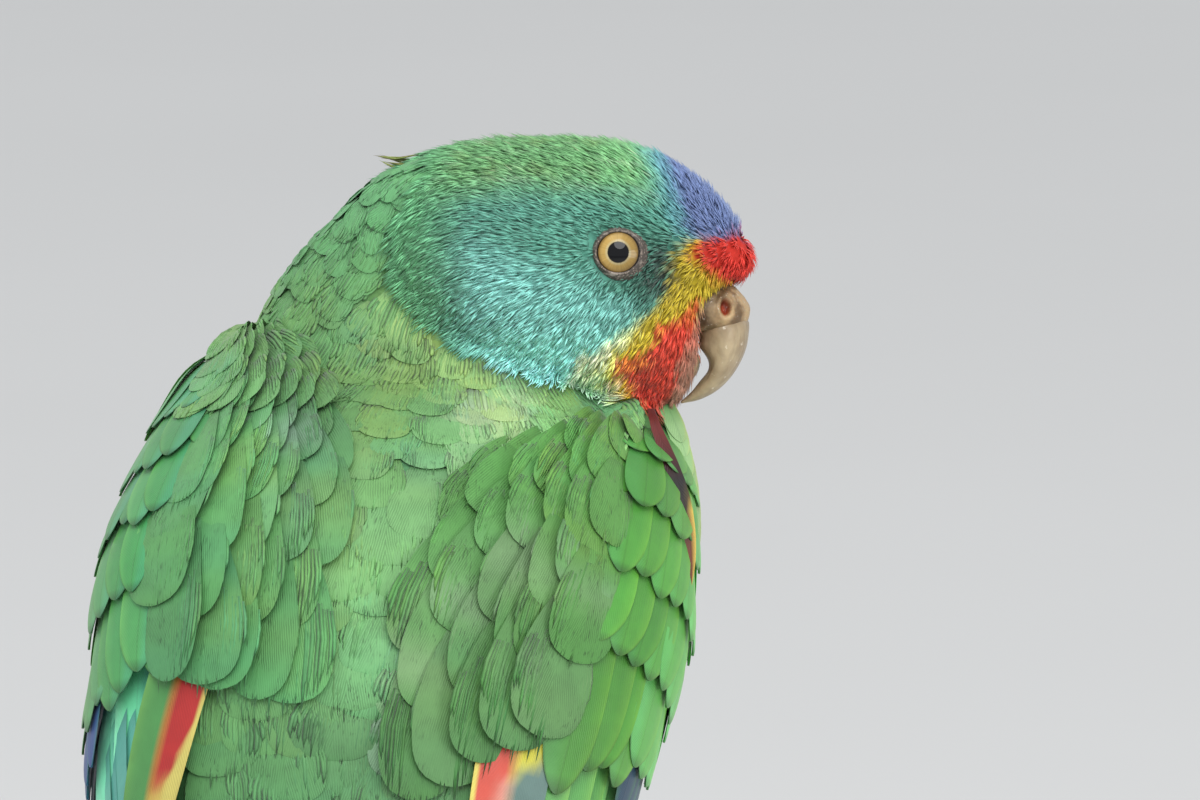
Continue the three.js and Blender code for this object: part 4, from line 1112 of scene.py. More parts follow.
def staggered(at, stations, spacing, draw, jitter=0.22):
    """Roots in rows round a surface, each row shifted by half a step, as feather tracts have them."""
    ring = np.linspace(0, TURN, 73)
    girth = np.linalg.norm(np.diff(at(stations[:, None], ring[None]), axis=1), axis=2).sum(1)
    counts = np.maximum(np.round(girth / spacing), 4).astype(int)
    row = np.repeat(np.arange(len(stations)), counts)
    index = np.arange(counts.sum()) - np.repeat(np.cumsum(counts) - counts, counts)
    angle = (index + 0.5 * (row % 2) + draw.uniform(-jitter, jitter, len(row))) / counts[row] * TURN
    gap = np.gradient(stations)[row]
    return at(stations[row] + draw.uniform(-jitter, jitter, len(row)) * gap, angle)


def under_wing(points, margin):
    """True where a wing covers the body, short of its inner edge by the margin in degrees."""
    x, y, z = BODY.into(points).T
    turn = np.degrees(np.arctan2(np.abs(x - BEND(-z)), -y))
    covered = (turn > WING["inner"](-z) + margin) & (turn < WING["outer"](-z) + 4)
    return covered & (z < 4) & (z > -82)


def body_coat():
    """The mantle, back, rump, breast and belly, from small feathers at the neck to larger ones below."""
    draw = np.random.default_rng(50)
    upper = staggered(torso_at, np.arange(-10, 6, 2.3), 3.5, draw, 0.3)
    lower = staggered(torso_at, np.arange(6, 82, 3.9), 5.0, draw, 0.34)
    roots = np.concatenate([upper, lower])
    place, _ = NEAREST(roots)
    shown = (np.linalg.norm(place - roots, axis=1) < BODY_COAT + 1.4) & ~under_wing(roots, 9)
    shown &= in_neck(roots) > 0.95
    roots = roots[shown]
    down = -BODY.into(roots)[:, 2]
    back = BODY.into(roots)[:, 1] < 1
    length = mix(6.0, 12.5, ramp(-8, 16, down)) * draw.uniform(0.88, 1.14, len(roots))
    width = mix(4.2, 8.6, ramp(-8, 16, down))
    for name, part, barbs in (("back", back, 19), ("breast", ~back, 13)):
        line = creep(roots[part], body_lie, length[part], 6)
        batches = plumes(line, width[part], 0.55, barbs, body_colour, body_unwrap, draw, sink=0.4)
        mesh_piece(f"coat_{name}", batches, SOFT_VANES)


def thigh_coat():
    """Short soft feathers down each thigh."""
    batches = []
    for side in (-1, 1):
        line, radii = thigh_line(side)
        middles, radius = [even_curve(column) for column in line.T], even_curve(radii)

        def at(station, angle):
            ring = stack(np.sin(angle), np.cos(angle), 0 * angle)
            return stack(*(m(station) for m in middles)) + ring * radius(station)[..., None]

        draw = np.random.default_rng(60 + side)
        roots = staggered(at, np.linspace(0.98, 0.06, 12), 2.8, draw)
        place, _ = NEAREST(roots)
        roots = roots[np.linalg.norm(place - roots, axis=1) < 2.6]
        line = creep(roots, thigh_lie, np.full(len(roots), 5.5), 6)
        batches += plumes(line, 3.6, 1.1, 9, body_colour, body_unwrap, draw)
    mesh_piece("coat_thighs", batches, SOFT_VANES)


# ---------- Wings ----------
COVERT = curve([[0, 0.45], [0.3, 0.85], [0.6, 1], [0.8, 0.9], [0.91, 0.64], [0.98, 0.3], [1, 0.08]])
FLIGHT = curve([[0, 0.5], [0.3, 0.92], [0.65, 1], [0.86, 0.85], [0.95, 0.56], [0.99, 0.26], [1, 0.07]])
WING_GREEN, LIME, WING_BLUE = (0.08, 0.29, 0.08), (0.24, 0.50, 0.10), (0.02, 0.06, 0.22)
AQUA, DARK_VANE, SLATE = (0.11, 0.38, 0.21), (0.02, 0.022, 0.03), (0.14, 0.25, 0.25)
WING_YELLOW = (0.55, 0.50, 0.05)
# The tiers of wing feathers. The last four sizes are where its roots and its tips lie, down the wing and
# across it, for its innermost and its outermost feather.
TIER_SIZES = ("count", "shape", "width", "tilt", "lift", "sink", "rise", "ragged", "rootDown", "rootAcross",
              "tipDown", "tipAcross")
WING_TIERS = {name: dict(zip(TIER_SIZES, sizes)) for name, *sizes in (
    ("primaries", 8, FLIGHT, 9.0, 0.5, -3.4, 1, 0.7, 0.6, (36, 42), (0.5, 0.9), (84, 114), (0.12, 0.8)),
    ("secondaries", 8, FLIGHT, 8.4, 0.6, -3.1, 1.2, 0.8, 1, (24, 38), (0.2, 0.78), (76, 70), (0.1, 0.86)),
    ("tertials", 4, FLIGHT, 8.2, 0.5, -2.3, 1.1, 0.7, 0.4, (16, 24), (-0.08, 0.3), (58, 68), (-0.04, 0.36)),
    ("primary_coverts", 6, COVERT, 5.2, 0.5, -1.7, 1.4, 0.4, 1.4,
     (26, 32), (0.62, 0.97), (48, 56), (0.6, 0.97)),
    ("greater_coverts", 11, COVERT, 6.8, 0.5, -1.3, 1.6, 0.4, 3,
     (17, 23), (0.06, 0.95), (39, 46), (0.05, 0.95)),
    ("median_coverts", 10, COVERT, 6.6, 0.5, -0.9, 1.6, 0.35, 2.6,
     (11, 16), (0.08, 0.95), (29, 35), (0.08, 0.95)),
    ("lesser_coverts", 10, COVERT, 6, 0.4, -0.6, 1.6, 0.3, 2.4,
     (4, 8), (0.12, 0.95), (20, 25), (0.1, 0.95)),
    ("small_coverts", 9, COVERT, 5.6, 0.4, -0.45, 1.5, 0.3, 2,
     (-2, 2), (0.14, 0.95), (12, 16), (0.12, 0.95)),
    ("marginal_coverts", 9, COVERT, 5, 0.3, -0.4, 2.2, 0.25, 1.6,
     (-4, -4), (0.2, 0.92), (6, 8), (0.16, 0.95)),
)}
# How a tier differs on one side: the left wing's innermost feathers stand out from the back and show a red
# inner web.
SIDE_CHANGES = {
    ("tertials", -1): dict(count=1, rootAcross=(-0.06, 0.2), tipDown=(63, 68), tipAcross=(0.33, 0.5),
                           turn=1.6),
    ("tertials", 1): dict(rootAcross=(0.01, 0.36), tipDown=(63, 68), tipAcross=(0.045, 0.42)),
    ("secondaries", -1): dict(rootAcross=(0.32, 0.78), tipAcross=(0.36, 0.86)),
    ("greater_coverts", 1): dict(count=10, rootAcross=(0.12, 0.95), tipDown=(48, 38), tipAcross=(0.13, 0.95)),
    ("small_coverts", 1): dict(rootDown=(3, 2)),
    ("marginal_coverts", 1): dict(rootDown=(1.5, -4)),
}


def flight_colour(side, kind, q, across, along):
    """The colours of one kind of wing feather, at its place q in the tier, across its vane and along it."""
    edge = np.abs(across) ** 5
    green = tint(WING_GREEN, LIME, 0.5 * edge * (across > 0) + 0.1 * along)
    if kind == "primaries":
        green = tint(DARK_VANE, WING_BLUE, ramp(0.0, 0.35, across))
        return tint(green, (0.55, 0.60, 0.12), 0.8 * ramp(0.82, 0.98, across) * ramp(0.9, 0.3, along))
    if kind == "secondaries":
        web = tint((0.30, 0.88, 0.46), WING_BLUE, 0.5 * ramp(0.75, 1, along))
        green = tint((0.14, 0.42, 0.30), web, ramp(-0.6, 0.1, across))
        return tint(green, (0.50, 0.85, 0.55), 0.55 * ramp(0.7, 1, across))
    if kind == "tertials":
        first = (q < 0.2) * ramp(0.36, 0.42, along)
        web = tint(SLATE, AQUA, 0.4 * ramp(-0.9, 0, across))
        green = tint(green, web, ramp(0.15, -0.1, across) * (q > 0.2))
        if side > 0:
            low = ramp(0.645, 0.685, along + 0.07 * across)
            outer_web = tint(WING_YELLOW, 0.62 * np.array(SLATE), low)
            green = tint(green, outer_web, first * ramp(-0.04, 0.02, across))
            red = tint((0.5, 0.06, 0.04), (0.58, 0.26, 0.22), low * ramp(-0.62, 0, across))
            green = tint(green, red, first * ramp(0.03, -0.03, across))
            return tint(green, (0.58, 0.48, 0.10), first * ramp(-0.84, -0.9, across))
        green = green * np.where(q < 0.2, 0.76, 1)[..., None]
        green = tint(green, (0.55, 0.42, 0.04), 0.7 * first * ramp(0.14, 0.04, across))
        web = tint((0.40, 0.02, 0.018), (0.52, 0.36, 0.08), ramp(0.75, 0.82, along - 0.05 * across))
        green = tint(green, web, first * ramp(0.04, -0.03, across))
        edge = ramp(0.04, -0.04, across + mix(0.9, 0.52, ramp(0.6, 0.78, along)))
        return tint(green, (0.55, 0.44, 0.11), first * edge)
    if kind == "primary_coverts":
        return tint(WING_BLUE, AQUA, 0.4 * edge)
    blue = 0.4 * ramp(0.3, 1, q) * ramp(0.2, 0.8, along) + 0.4 * ramp(0.0, -0.3, across)
    # Painted light: the right wing's coverts grow up to 2.1 times brighter towards the wing's outer edge,
    # where the light falls on it; the left ones only a little.
    bright = mix(0.86, 2.1, ramp(0.2, 0.95, q)) if side > 0 else mix(1.0, 1.15, ramp(0.3, 0.9, q))
    lime = ramp(0.35, 0.8, q) * (side < 0)
    green = tint(green, AQUA, blue * (1 - 0.8 * lime))
    share = 0.7 if kind in ("marginal_coverts", "small_coverts") else 0.35
    green = tint(green, (0.34, 0.50, 0.05), share * lime)
    # Painted shade: each covert darkens at its very tip, along the edge that lies over the next feather.
    return green * (bright * (1 - 0.5 * ramp(0.93, 0.99, along)))[..., None]


def wing_swell(side, down, across):
    """How much further out a wing's coat stands towards its outer edge: low down, and on the left
    shoulder."""
    if side > 0:
        return ramp(14, 26, down) * ramp(0.35, 0.75, across)
    return (0.6 + ramp(34, 48, down) + 1.5 * hump(-3, 6, down)) * ramp(0.3, 0.7, across)


def wing_tier(side, kind, tier, draw):
    """One tier of wing feathers, whose shafts run over the folded wing's surface from root to tip."""
    tier = {**tier, **SIDE_CHANGES.get((kind, side), {})}
    count = tier["count"]
    q = np.linspace(0, 1, count)[:, None]
    share = (tipward(31) if kind == "tertials" else TIPWARD)[None]
    tip_down = mix(*tier["tipDown"], q) + tier["ragged"] * draw.uniform(-0.5, 0.5, (count, 1))
    if tier["shape"] is COVERT:
        q = q + draw.uniform(-0.2, 0.2, (count, 1)) / count
    down = mix(mix(*tier["rootDown"], q), tip_down, share)
    bow = 0.02 * draw.normal(size=(count, 1)) * share * (1 - share)
    across = mix(mix(*tier["rootAcross"], q), mix(*tier["tipAcross"], q), share ** tier.get("turn", 1)) + bow
    lift = tier["lift"] + mix(-tier["sink"], tier["rise"], share**0.7) + 0.1 * draw.uniform(-1, 1, (count, 1))
    if tier["shape"] is COVERT:
        lift = lift - 1.1 * ramp(0.24, 0.06, across)
    if kind == "tertials":
        lift = lift - 0.5 * q
    lift = lift + wing_swell(side, down, across)
    spine, out, _, outward = over_wing(side, down, across, lift)
    tilt = tier["tilt"] * 0.22
    half = 0.5 * tier["width"] * draw.uniform(0.9, 1.1, (count, 1)) * tier["shape"](share)
    vary = draw.uniform(0.88, 1.12, (count, 1, 1, 1)) * (1 + draw.normal(0, 0.04, (count, 1, 1, 3)))
    vary = vary * np.array((0.72, 0.84, 0.42) if side > 0 else (0.62, 0.88, 0.96))
    if kind == "tertials":
        vary = vary ** 0.2

    def colours(ring, along):
        u, v, place = np.broadcast_arrays(ring, along, q[..., None])
        # Painted shade: each feather darkens towards its root, under the feathers that overlap it, and along
        # its rim near the tip, where it lies over the next.
        dark = 0.84 + 0.16 * ramp(0.1, 0.5, v)
        rim = 1 - 0.5 * ramp(0.88, 1.0, np.abs(u)) * ramp(0.7, 0.95, v)
        return flight_colour(side, kind, place, u, v) * vary * (dark * rim)[..., None]

    down_share = (mix(*tier["rootDown"], q[:, 0]) + 10) / 120
    unwrap = stack(mix(*tier["rootAcross"], q[:, 0]) * 0.6 + 0.2, np.clip(down_share, 0, 1))
    columns = 17 if kind == "tertials" else 7
    return vanes(spine, unit(out - outward * tilt), unit(outward + out * tilt), half, colours, unwrap,
                 columns=columns, camber=0.07, thick=0.3)


def wings():
    """Both folded wings, tier by tier."""
    for name, side in (("left", -1), ("right", 1)):
        draw = np.random.default_rng(70 + side)
        batches = [wing_tier(side, kind, tier, draw) for kind, tier in WING_TIERS.items()]
        mesh_piece(f"feathers_wing_{name}", batches, FLAT_VANES)


# Rows of shoulder feathers, from the lowest: how far their tips end above the lowest, length, width and
# number.
SCAPULAR_ROWS = [(0, 19, 9.6, 5), (8.5, 18, 9.4, 5), (16.5, 16, 8.6, 5), (24, 13.5, 7.6, 6),
                 (30.5, 11.5, 6.6, 6), (36, 9.5, 5.8, 7)]
# Small feathers over the top of each shoulder: how far down the wing the tips of each row are, where the
# highest roots are, how far the rows reach across the wing, how many feathers a row has and how wide they
# are.
SHOULDER_TOP = {-1: ((7, 4, 1, -2), -9.5, 0.27, 8, 5.2), 1: ((9.6, 7.4, 5.2), 0.5, 0.16, 8, 4.4)}


def row_places(count, row, draw):
    """Places from 0 to 1 along a row of feathers, a little scattered, and half a step on in every other
    row."""
    return (np.arange(count)[:, None] + 0.5 * (row % 2) + draw.uniform(-0.2, 0.2, (count, 1))) / count


def scapulars():
    """Long rounded feathers from the shoulders, which lie over the inner edges of both wings and sink into
    the mantle. The lowest end nearer the tail at their inner side."""
    batches = []
    share = np.linspace(0, 1, 7)[None]
    for side in (-1, 1):
        draw = np.random.default_rng(80 + side)
        for row, (above, reach, wide, count) in enumerate(SCAPULAR_ROWS):
            q = row_places(count, row, draw)
            across = mix(-0.28, 0.17, q)
            lowest = 45.5 - 25 * across if side > 0 else 42 - 6 * across
            above = above if side > 0 else 0.92 * above
            tip = lowest - above + draw.uniform(-1, 1, (count, 1)) * min(1.6, 0.3 + 0.4 * row)
            top = 0.8 if side > 0 else -3
            down = np.maximum(tip - reach * draw.uniform(0.9, 1.1, (count, 1)) * (1 - share), top + 3 * share)
            across = across + 0.02 * draw.uniform(-1, 1, (count, 1)) * share
            across = across + 0.05 * (share - 0.5) * mix(-0.6, 0.6, q)
            lift = mix(-2.9, -0.75, ramp(-0.28, 0.1, across)) - 0.5 * ramp(3, 5, row)
            line = over_wing(side, down, across, lift)[:3]
            batches += plumes(line, wide, 0.22, 21, scapular_colour, body_unwrap, draw, sink=0.6 + 0.14 * row,
                              dusky=0.08)
        tips, start, outer, count, wide = SHOULDER_TOP[side]
        for row, tip in enumerate(tips):
            across = mix(-0.3, outer, row_places(count, row, draw))
            top = start - 2 * ramp(0.05, -0.2, across) * (side < 0)
            down = np.maximum(tip + draw.uniform(-0.8, 0.8, (count, 1)) - 7 * (1 - share), top + 3 * share)
            across = across + 0 * down
            lift = mix(-2.4, -0.5, ramp(-0.28, 0.1, across)) + wing_swell(side, down, across)
            lift = lift - 4 * ramp(-5.5, top, down)
            turned = 0.6 * ramp(-0.15, 0.3, across) * (side < 0)
            place, _, way, _ = over_wing(side, down, across, lift - 0.5 * turned)
            out = unit(over_wing(side, down, across, lift)[1] - turned[..., None] * BODY.axes[1])
            out = unit(out - way * dot(out, way))
            batches += plumes((place, out, way), wide, 0.3, 13, body_colour, body_unwrap, draw, sink=0.8,
                              rows=11)
    mesh_piece("feathers_scapular", batches, SOFT_VANES)


def shoulder_slit():
    """A dark red-brown feather that shows along the right shoulder, with a yellow outer edge low down, and
    pale feathers that stand out past it."""
    draw = np.random.default_rng(86)
    share = TIPWARD[None]
    batches = []

    def lay(down, across, lift, half, back, colours):
        spine, out, way, outer = over_wing(1, down, across, lift)
        out = unit(out - back * BODY.axes[1])
        outward = unit(np.cross(out, way))
        outward = outward * np.sign(dot(outward, outer))
        unwrap = stack(across[:, 0] * 0.6 + 0.2, (down[:, 0] + 10) / 120)
        batches.append(vanes(spine, unit(out - outward * dot(out, outward)), outward, half, colours, unwrap,
                             columns=5, camber=0.08, thick=0.25))

    def dark(ring, along):
        u, v = np.broadcast_arrays(ring, along)
        low = tint((0.11, 0.012, 0.01), (0.012, 0.01, 0.01), ramp(0.12, 0.45, v))
        low = tint(low, (0.13, 0.03, 0.012), ramp(0.55, 0.85, v))
        return tint(low, (0.6, 0.42, 0.08), ramp(0.55, 0.8, u) * ramp(0.5, 0.62, v))

    down, across = even_curve((-1, 4, 8.5, 13, 18))(share), even_curve((0.16, 0.3, 0.42, 0.52, 0.6))(share)
    width = curve([[0, 0.5], [0.3, 0.95], [0.6, 1.05], [0.85, 0.7], [1, 0.1]])(share)
    lay(down, across, -0.5 + 0.2 * share, width, 1.1, dark)

    count = 7
    q = np.linspace(0, 1, count)[:, None]
    down = mix(mix(-6, 1, q), mix(1, 13, q) + draw.uniform(-0.6, 0.6, (count, 1)), share)
    across = mix(mix(0.34, 0.6, q), mix(0.5, 0.72, q), share)
    vary = draw.uniform(0.85, 1.15, (count, 1, 1, 1))

    def pale(ring, along):
        u, v = np.broadcast_arrays(ring + 0 * q[..., None], along)
        green = tint((0.12, 0.32, 0.10), (0.26, 0.44, 0.19), ramp(0.2, 0.9, v))
        return tint(green, (0.42, 0.46, 0.16), 0.6 * ramp(0.6, 1, u)) * vary

    lay(down, across, mix(-1.6, -0.8, share) + 0 * down, 1.5 * COVERT(share) + 0 * down, 0.7, pale)
    mesh_piece("feathers_shoulder", batches, FLAT_VANES)


def scapular_colour(points):
    """The mantle's green, a little deeper and yellower."""
    right = ramp(-4, 4, BODY.into(points)[..., 0])
    return body_colour(points) * tint((0.74, 0.90, 0.88), (0.54, 0.68, 0.46), right)


# ---------- Tail ----------
RECTRICES = (118, 109, 98, 86, 74, 62)
TAIL_RED, TAIL_BLUE = (0.22, 0.025, 0.02), (0.03, 0.06, 0.20)


def tail_vanes(points, across, out, half, colours, unwrap, **shape):
    """Vanes whose spines, ways across and ways out are given along the tail's own axes."""
    spine = TAIL.out(points)
    across, out = (unit(stack(*way) @ TAIL.axes) + 0 * spine for way in (across, out))
    return vanes(spine, out, across, half, colours, unwrap, **shape)


def tail():
    """Six pairs of graduated tail feathers in a shallow stack, with the coverts over and under their
    roots."""
    draw = np.random.default_rng(90)
    i, side = (part.reshape(-1, 1) for part in np.meshgrid(np.arange(6), [-1, 1], indexing="ij"))
    share = TIPWARD[None]
    down = mix(6.0, np.array(RECTRICES)[i], share)
    x = side * mix(0.6 + 0.75 * i, np.where(i == 0, 1.1, 1.6 + 1.75 * i), share)
    y = mix(-2.1 + 0.8 * i + 0.4 * (side > 0), -2.6 + 1.05 * i + 0.75 * (side > 0), share)
    tilt = 0.028 * i * side
    vary = draw.uniform(0.85, 1.15, (12, 1, 1, 1))

    def colours(ring, along):
        u, v = np.broadcast_arrays(ring * side[..., None], along)
        blue = ramp(0.55, 0.95, v) * 0.85 + ramp(0.2, 0.9, u) * 0.8 * (0.4 + 0.12 * i[..., None])
        return tint(TAIL_RED, TAIL_BLUE, np.clip(blue, 0, 1)) * vary

    unwrap = stack(side[:, 0] * 0.06 * (i[:, 0] + 1) + 0.5, 0.3)
    half = 0.5 * 8.4 * FLIGHT(share) + 0 * tilt
    batches = [tail_vanes(stack(x, y, -down), (1, tilt, 0), (tilt, -1, 0), half, colours, unwrap, columns=7,
                          camber=0.08, thick=0.3)]
    for face, base, reaches in ((-1, DEEP_GREEN, (44, 38, 32, 25)), (1, (0.5, 0.06, 0.03), (37, 32, 26, 20))):
        for row, reach in enumerate(reaches):
            q = np.linspace(-1, 1, 5 if row else 3)[:, None]
            down = mix(2.0 - 2 * row, reach - 5 * np.abs(q) + draw.uniform(-1, 1, q.shape), share)
            x = q * TAIL_CORE["half"](down) * mix(0.7, 0.85, share)
            rise = TAIL_CORE["depth"](np.minimum(down, 14)) * np.sqrt(1 - 0.7 * q**2)
            y = face * (rise + 0.5 + 0.35 * row - 0.06 * (down - 14) * (down > 14))
            shade = draw.uniform(0.85, 1.15, (len(q), 1, 1, 1))

            def colours(ring, along):
                u, v = np.broadcast_arrays(ring + 0 * q[..., None], along)
                # Painted shade: darker towards the root, under the coverts that overlap it.
                return tint(base, LIME, 0.35 * np.abs(u) ** 3) * shade * (0.7 + 0.3 * v)[..., None]

            spot = stack(0.2 + 0.1 * q[:, 0] + 0.02 * row, 0.5 + 0.3 * face)
            half = 0.5 * 7.2 * COVERT(share) + 0 * q
            batches.append(tail_vanes(stack(x, y, -down), (1, 0.35 * q * face, 0), (0.35 * q, face, 0), half,
                                      colours, spot, columns=5, camber=0.14))
    mesh_piece("feathers_tail", batches, FLAT_VANES)


# ---------- Bill ----------
def bill_rings(places, grow, sides):
    """Rings square to the bill's middle line: a ridge along the top, flatter flanks, and a lobe on the
    cutting edge."""
    line = stack(BILL["x"](places), 0 * places, BILL["z"](places))
    up = np.cross(unit(np.gradient(line, axis=0)), [0.0, 1, 0])
    angle = np.arange(sides) * TURN / sides
    s, c = np.sin(angle)[None], np.cos(angle)[None]
    half = (BILL["half"](places) + grow)[:, None]
    thick = (BILL["thick"](places) + grow)[:, None]
    lobe = 1 + 0.28 * hump(10.6, 1.3, places)[:, None] - 0.34 * hump(13.6, 1.6, places)[:, None]
    ridge = np.where(c > 0, 1 + 0.05 * c**6, np.where(np.abs(s) < 0.9, lobe, 1))
    side = half * np.sign(s) * np.abs(s) ** 0.86 * np.where(c > 0, 1 - 0.1 * c**2, 1)
    height = thick * c * ridge
    return line[:, None] + side[..., None] * [0, 1.0, 0] + height[..., None] * up[:, None]


def horn_paint(name, pale, deep, scale):
    """Satin horn: growth lines round it, streaks along it and a paler bloom."""
    paint = Paint(name, Roughness=0.36, Specular_IOR_Level=0.45, Coat_Weight=0.18, Coat_Roughness=0.2,
                  Subsurface_Weight=0.08, Subsurface_Radius=(0.8, 0.4, 0.2), Subsurface_Scale=0.001)
    blotch = paint.blotch(0.35, 0.68, 160.0 * scale, 4.0)
    streak = paint.blotch(0.4, 0.64, 700.0 * scale, 3.0, (1, 3, 0.6))
    colour = paint.blend(blotch, deep, pale)
    colour = paint.blend(streak * 0.35, colour, tuple(0.72 * v for v in deep))
    fleck = paint.blotch(0.66, 0.74, 1300.0, 2.0)
    paint.colour(paint.blend(fleck * 0.4, colour, (0.82, 0.74, 0.6)))
    paint.rough(0.3 + blotch * 0.14 + streak * 0.12)
    paint.bump(streak * 0.5 + blotch * 0.4, 0.3, 0.0001)
    return paint.material


def cere_paint():
    """Waxy bare skin with fine creases, greyer towards its rim."""
    paint = Paint("cere_skin", Roughness=0.5, Specular_IOR_Level=0.4, Subsurface_Weight=0.15,
                  Subsurface_Radius=(1, 0.4, 0.25), Subsurface_Scale=0.001)
    crease = paint.noise(paint.place(), 1900.0, 4.0, 0.65)
    colour = paint.blend(paint.blotch(0.35, 0.65, 420.0), (0.12, 0.07, 0.03), (0.40, 0.275, 0.14))
    colour = paint.blend(1.0, colour, paint.plumage(), "MULTIPLY")
    paint.colour(paint.blend(paint.between(0.6, 0.72, crease) * 0.5, colour, (0.72, 0.62, 0.52)))
    paint.bump(crease, 0.5, 0.00015)
    return paint.material


HORN = horn_paint("horn_bill", (0.42, 0.33, 0.20), (0.25, 0.18, 0.10), 1.0)
CERE_SKIN = cere_paint()
CLAW_HORN = horn_paint("horn_claws", (0.12, 0.10, 0.085), (0.05, 0.04, 0.035), 1.6)


def bill():
    """The upper bill, the cere that laps over its root with two nostrils, and the lower bill in its shade."""
    places = np.concatenate([np.linspace(7.1, 17.6, 50), np.linspace(17.9, BILL_LENGTH, 8)])
    rings = bill_rings(places, -0.5 * ramp(8.3, 7.3, places), 56)
    upper = mesh_piece("bill_upper", [loft(FACE.out(rings)[None])], HORN)
    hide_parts("beak_upper")

    places = np.linspace(1.6, CERE_LENGTH + 1, 80)
    rim = ramp(CERE_LENGTH + 1, CERE_LENGTH + 0.1, places)
    rings = bill_rings(places, 0.0, 96)
    line = stack(BILL["x"](places), 0 * places, BILL["z"](places))[:, None]
    outward = unit(rings - line)
    swell = (0.34 * rim - 0.22 * (1 - rim))[:, None] + 0.05 * mottle(rings, 1.1, 7)
    rings = rings + outward * swell[..., None]
    hole = np.ones(rings.shape[:2])
    for side in (-1, 1):
        x, z, long, high = NOSTRIL
        away = np.sqrt(((rings[..., 0] - x) / long) ** 2 + ((rings[..., 2] - z) / high) ** 2)
        away = np.where(rings[..., 1] * side > 0, away, 9)
        dent = 1.15 * ramp(1.15, 0.55, away) - 0.16 * hump(1.45, 0.35, away)
        rings = rings - outward * dent[..., None]
        hole = np.minimum(hole, ramp(0.7, 1.15, away))
    tone = tint((0.8, 0.16, 0.10), (1, 1, 1.0), hole) * mix(0.56, 1.1, ramp(10.0, 13.2, rings[..., :1]))
    cere = mesh_piece("cere_bill", [loft(FACE.out(rings)[None], Plumage=tone[None])], CERE_SKIN)
    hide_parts("cere")

    x, z, thick, half = (even_curve(values)(np.linspace(0, 1, 26)) for values in LOWER_BILL)
    rings = tube_rings(stack(x, 0 * x, z), half, thick, (0, 1, 0), 36)
    lower = mesh_piece("bill_lower", [loft(FACE.out(rings)[None])], HORN)
    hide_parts("beak_lower")


# ---------- Eyes ----------
def eye_paint():
    """A wet eye: black pupil, ochre iris with a paler inner ring and fine rays, and a dark rim. The map
    Vane holds millimetres from the pupil's middle."""
    paint = Paint("eye_wet", Roughness=0.4, Specular_IOR_Level=0.0, Coat_Weight=0.7, Coat_Roughness=0.02,
                  Coat_IOR=1.4)
    x, z = paint.vane()
    radius = (x * x + z * z) ** 0.5
    turn = {"W": x.maths("ARCTAN2", z) * 9.0, "Scale": 1.0, "Detail": 3.0}
    rays = paint.node("ShaderNodeTexNoise", {"noise_dimensions": "1D"}, turn)[0]
    ring = paint.blend(paint.between(1.3, 1.6, radius), (0.42, 0.34, 0.17), (0.40, 0.26, 0.075))
    ring = paint.blend(paint.between(1.85, 2.4, radius), ring, (0.25, 0.15, 0.045))
    # Painted shade: the iris darkens towards its front and its lower edge, where less light reaches it under
    # the lid.
    front, low = paint.between(-1.4, 2.2, x), paint.between(-0.4, -2.2, z)
    ring = paint.shade(ring, (rays * 0.5 + 0.8) * (1 - front * 0.42) * (1 - low * 0.3))
    ring = paint.blend(paint.between(1.33, 1.2, radius + rays * 0.06), ring, (0.003, 0.003, 0.004))
    paint.colour(paint.blend(paint.between(2.2, 2.36, radius), ring, (0.012, 0.010, 0.009)))
    return paint.material


def ring_paint():
    """Bare grey-brown skin round the eye, covered in small grains."""
    paint = Paint("eye_ring_skin", Roughness=0.6, Specular_IOR_Level=0.3)
    grain = paint.node("ShaderNodeTexVoronoi", None, {"Vector": paint.place(), "Scale": 2900.0})[0]
    pale = paint.between(0.55, 0.05, grain)
    fleck = paint.blotch(0.52, 0.68, 900.0)
    colour = paint.blend(pale, (0.07, 0.058, 0.05), (0.27, 0.22, 0.18))
    paint.colour(paint.blend(fleck * 0.6, colour, (0.42, 0.36, 0.31)))
    paint.bump(pale, 0.7, 0.00012)
    return paint.material


EYE, RING_SKIN = eye_paint(), ring_paint()
# The lid from its inner edge to its outer one: its radius, and how far out from the head's middle it stands.
LID = curves([0, 0.12, 0.25, 0.4, 0.6, 0.8, 1], radius=[2.4, 2.47, 2.58, 2.72, 2.86, 3.0, 3.15],
             height=[11.9, 12.4, 12.5, 12.4, 12.0, 11.4, 10.3])
LID_ROWS, LID_SIDES = 26, 144


def eyes():
    """An eyeball on each side, and a rolled, grainy lid ring round it that widens towards the lower front."""
    for name, side in (("right", -1), ("left", 1)):
        theta = np.radians(np.concatenate([np.linspace(1.2, 50, 44), np.linspace(56, 176, 14)]))[:, None]
        phi = np.arange(96)[None] * TURN / 96
        local = stack(np.sin(theta) * np.cos(phi), side * np.cos(theta), np.sin(theta) * np.sin(phi))
        local = local * (EYE_RADIUS * mix(1, 0.8, ramp(36, 60, np.degrees(theta))))[..., None]
        seen = np.where(local[..., 1:2] * side > 0, local[..., [0, 2]], 9.0)
        ball = loft(FACE.out(local + [0, side * EYE_SIDE, 0])[None], Vane=seen[None])
        piece = mesh_piece(f"eye_{name}_wet", [ball], EYE)
        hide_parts(f"eye_{name}")

        share = np.linspace(0, 1, LID_ROWS)[:, None]
        angle = np.arange(LID_SIDES)[None] * TURN / LID_SIDES
        radius = LID["radius"](share) + 0.6 * ramp(-0.3, 1, np.cos(angle + 0.75)) * ramp(0.25, 1, share)
        beads = sum(high * np.abs(np.sin(angle * count + start)) * hump(middle, 0.12, share)
                    for high, count, start, middle in ((0.07, 22, 0, 0.3), (0.06, 17, 1, 0.55)))
        x, z = radius * np.cos(angle), radius * np.sin(angle) * 0.95
        y = side * (LID["height"](share) + beads - 0.10 * x - 0.35 * ramp(2.5, 4.5, radius) * ramp(0, 4, x))
        under = stack(x * 0.98, y - side * 0.9, z * 0.98)[::-1]
        points = loft(np.concatenate([stack(x, y, z), under])[None]).points
        band = Bodies(FACE.out(points), ring_faces(2 * LID_ROWS, LID_SIDES))
        mesh_piece(f"eye_ring_{name}", [band], RING_SKIN)


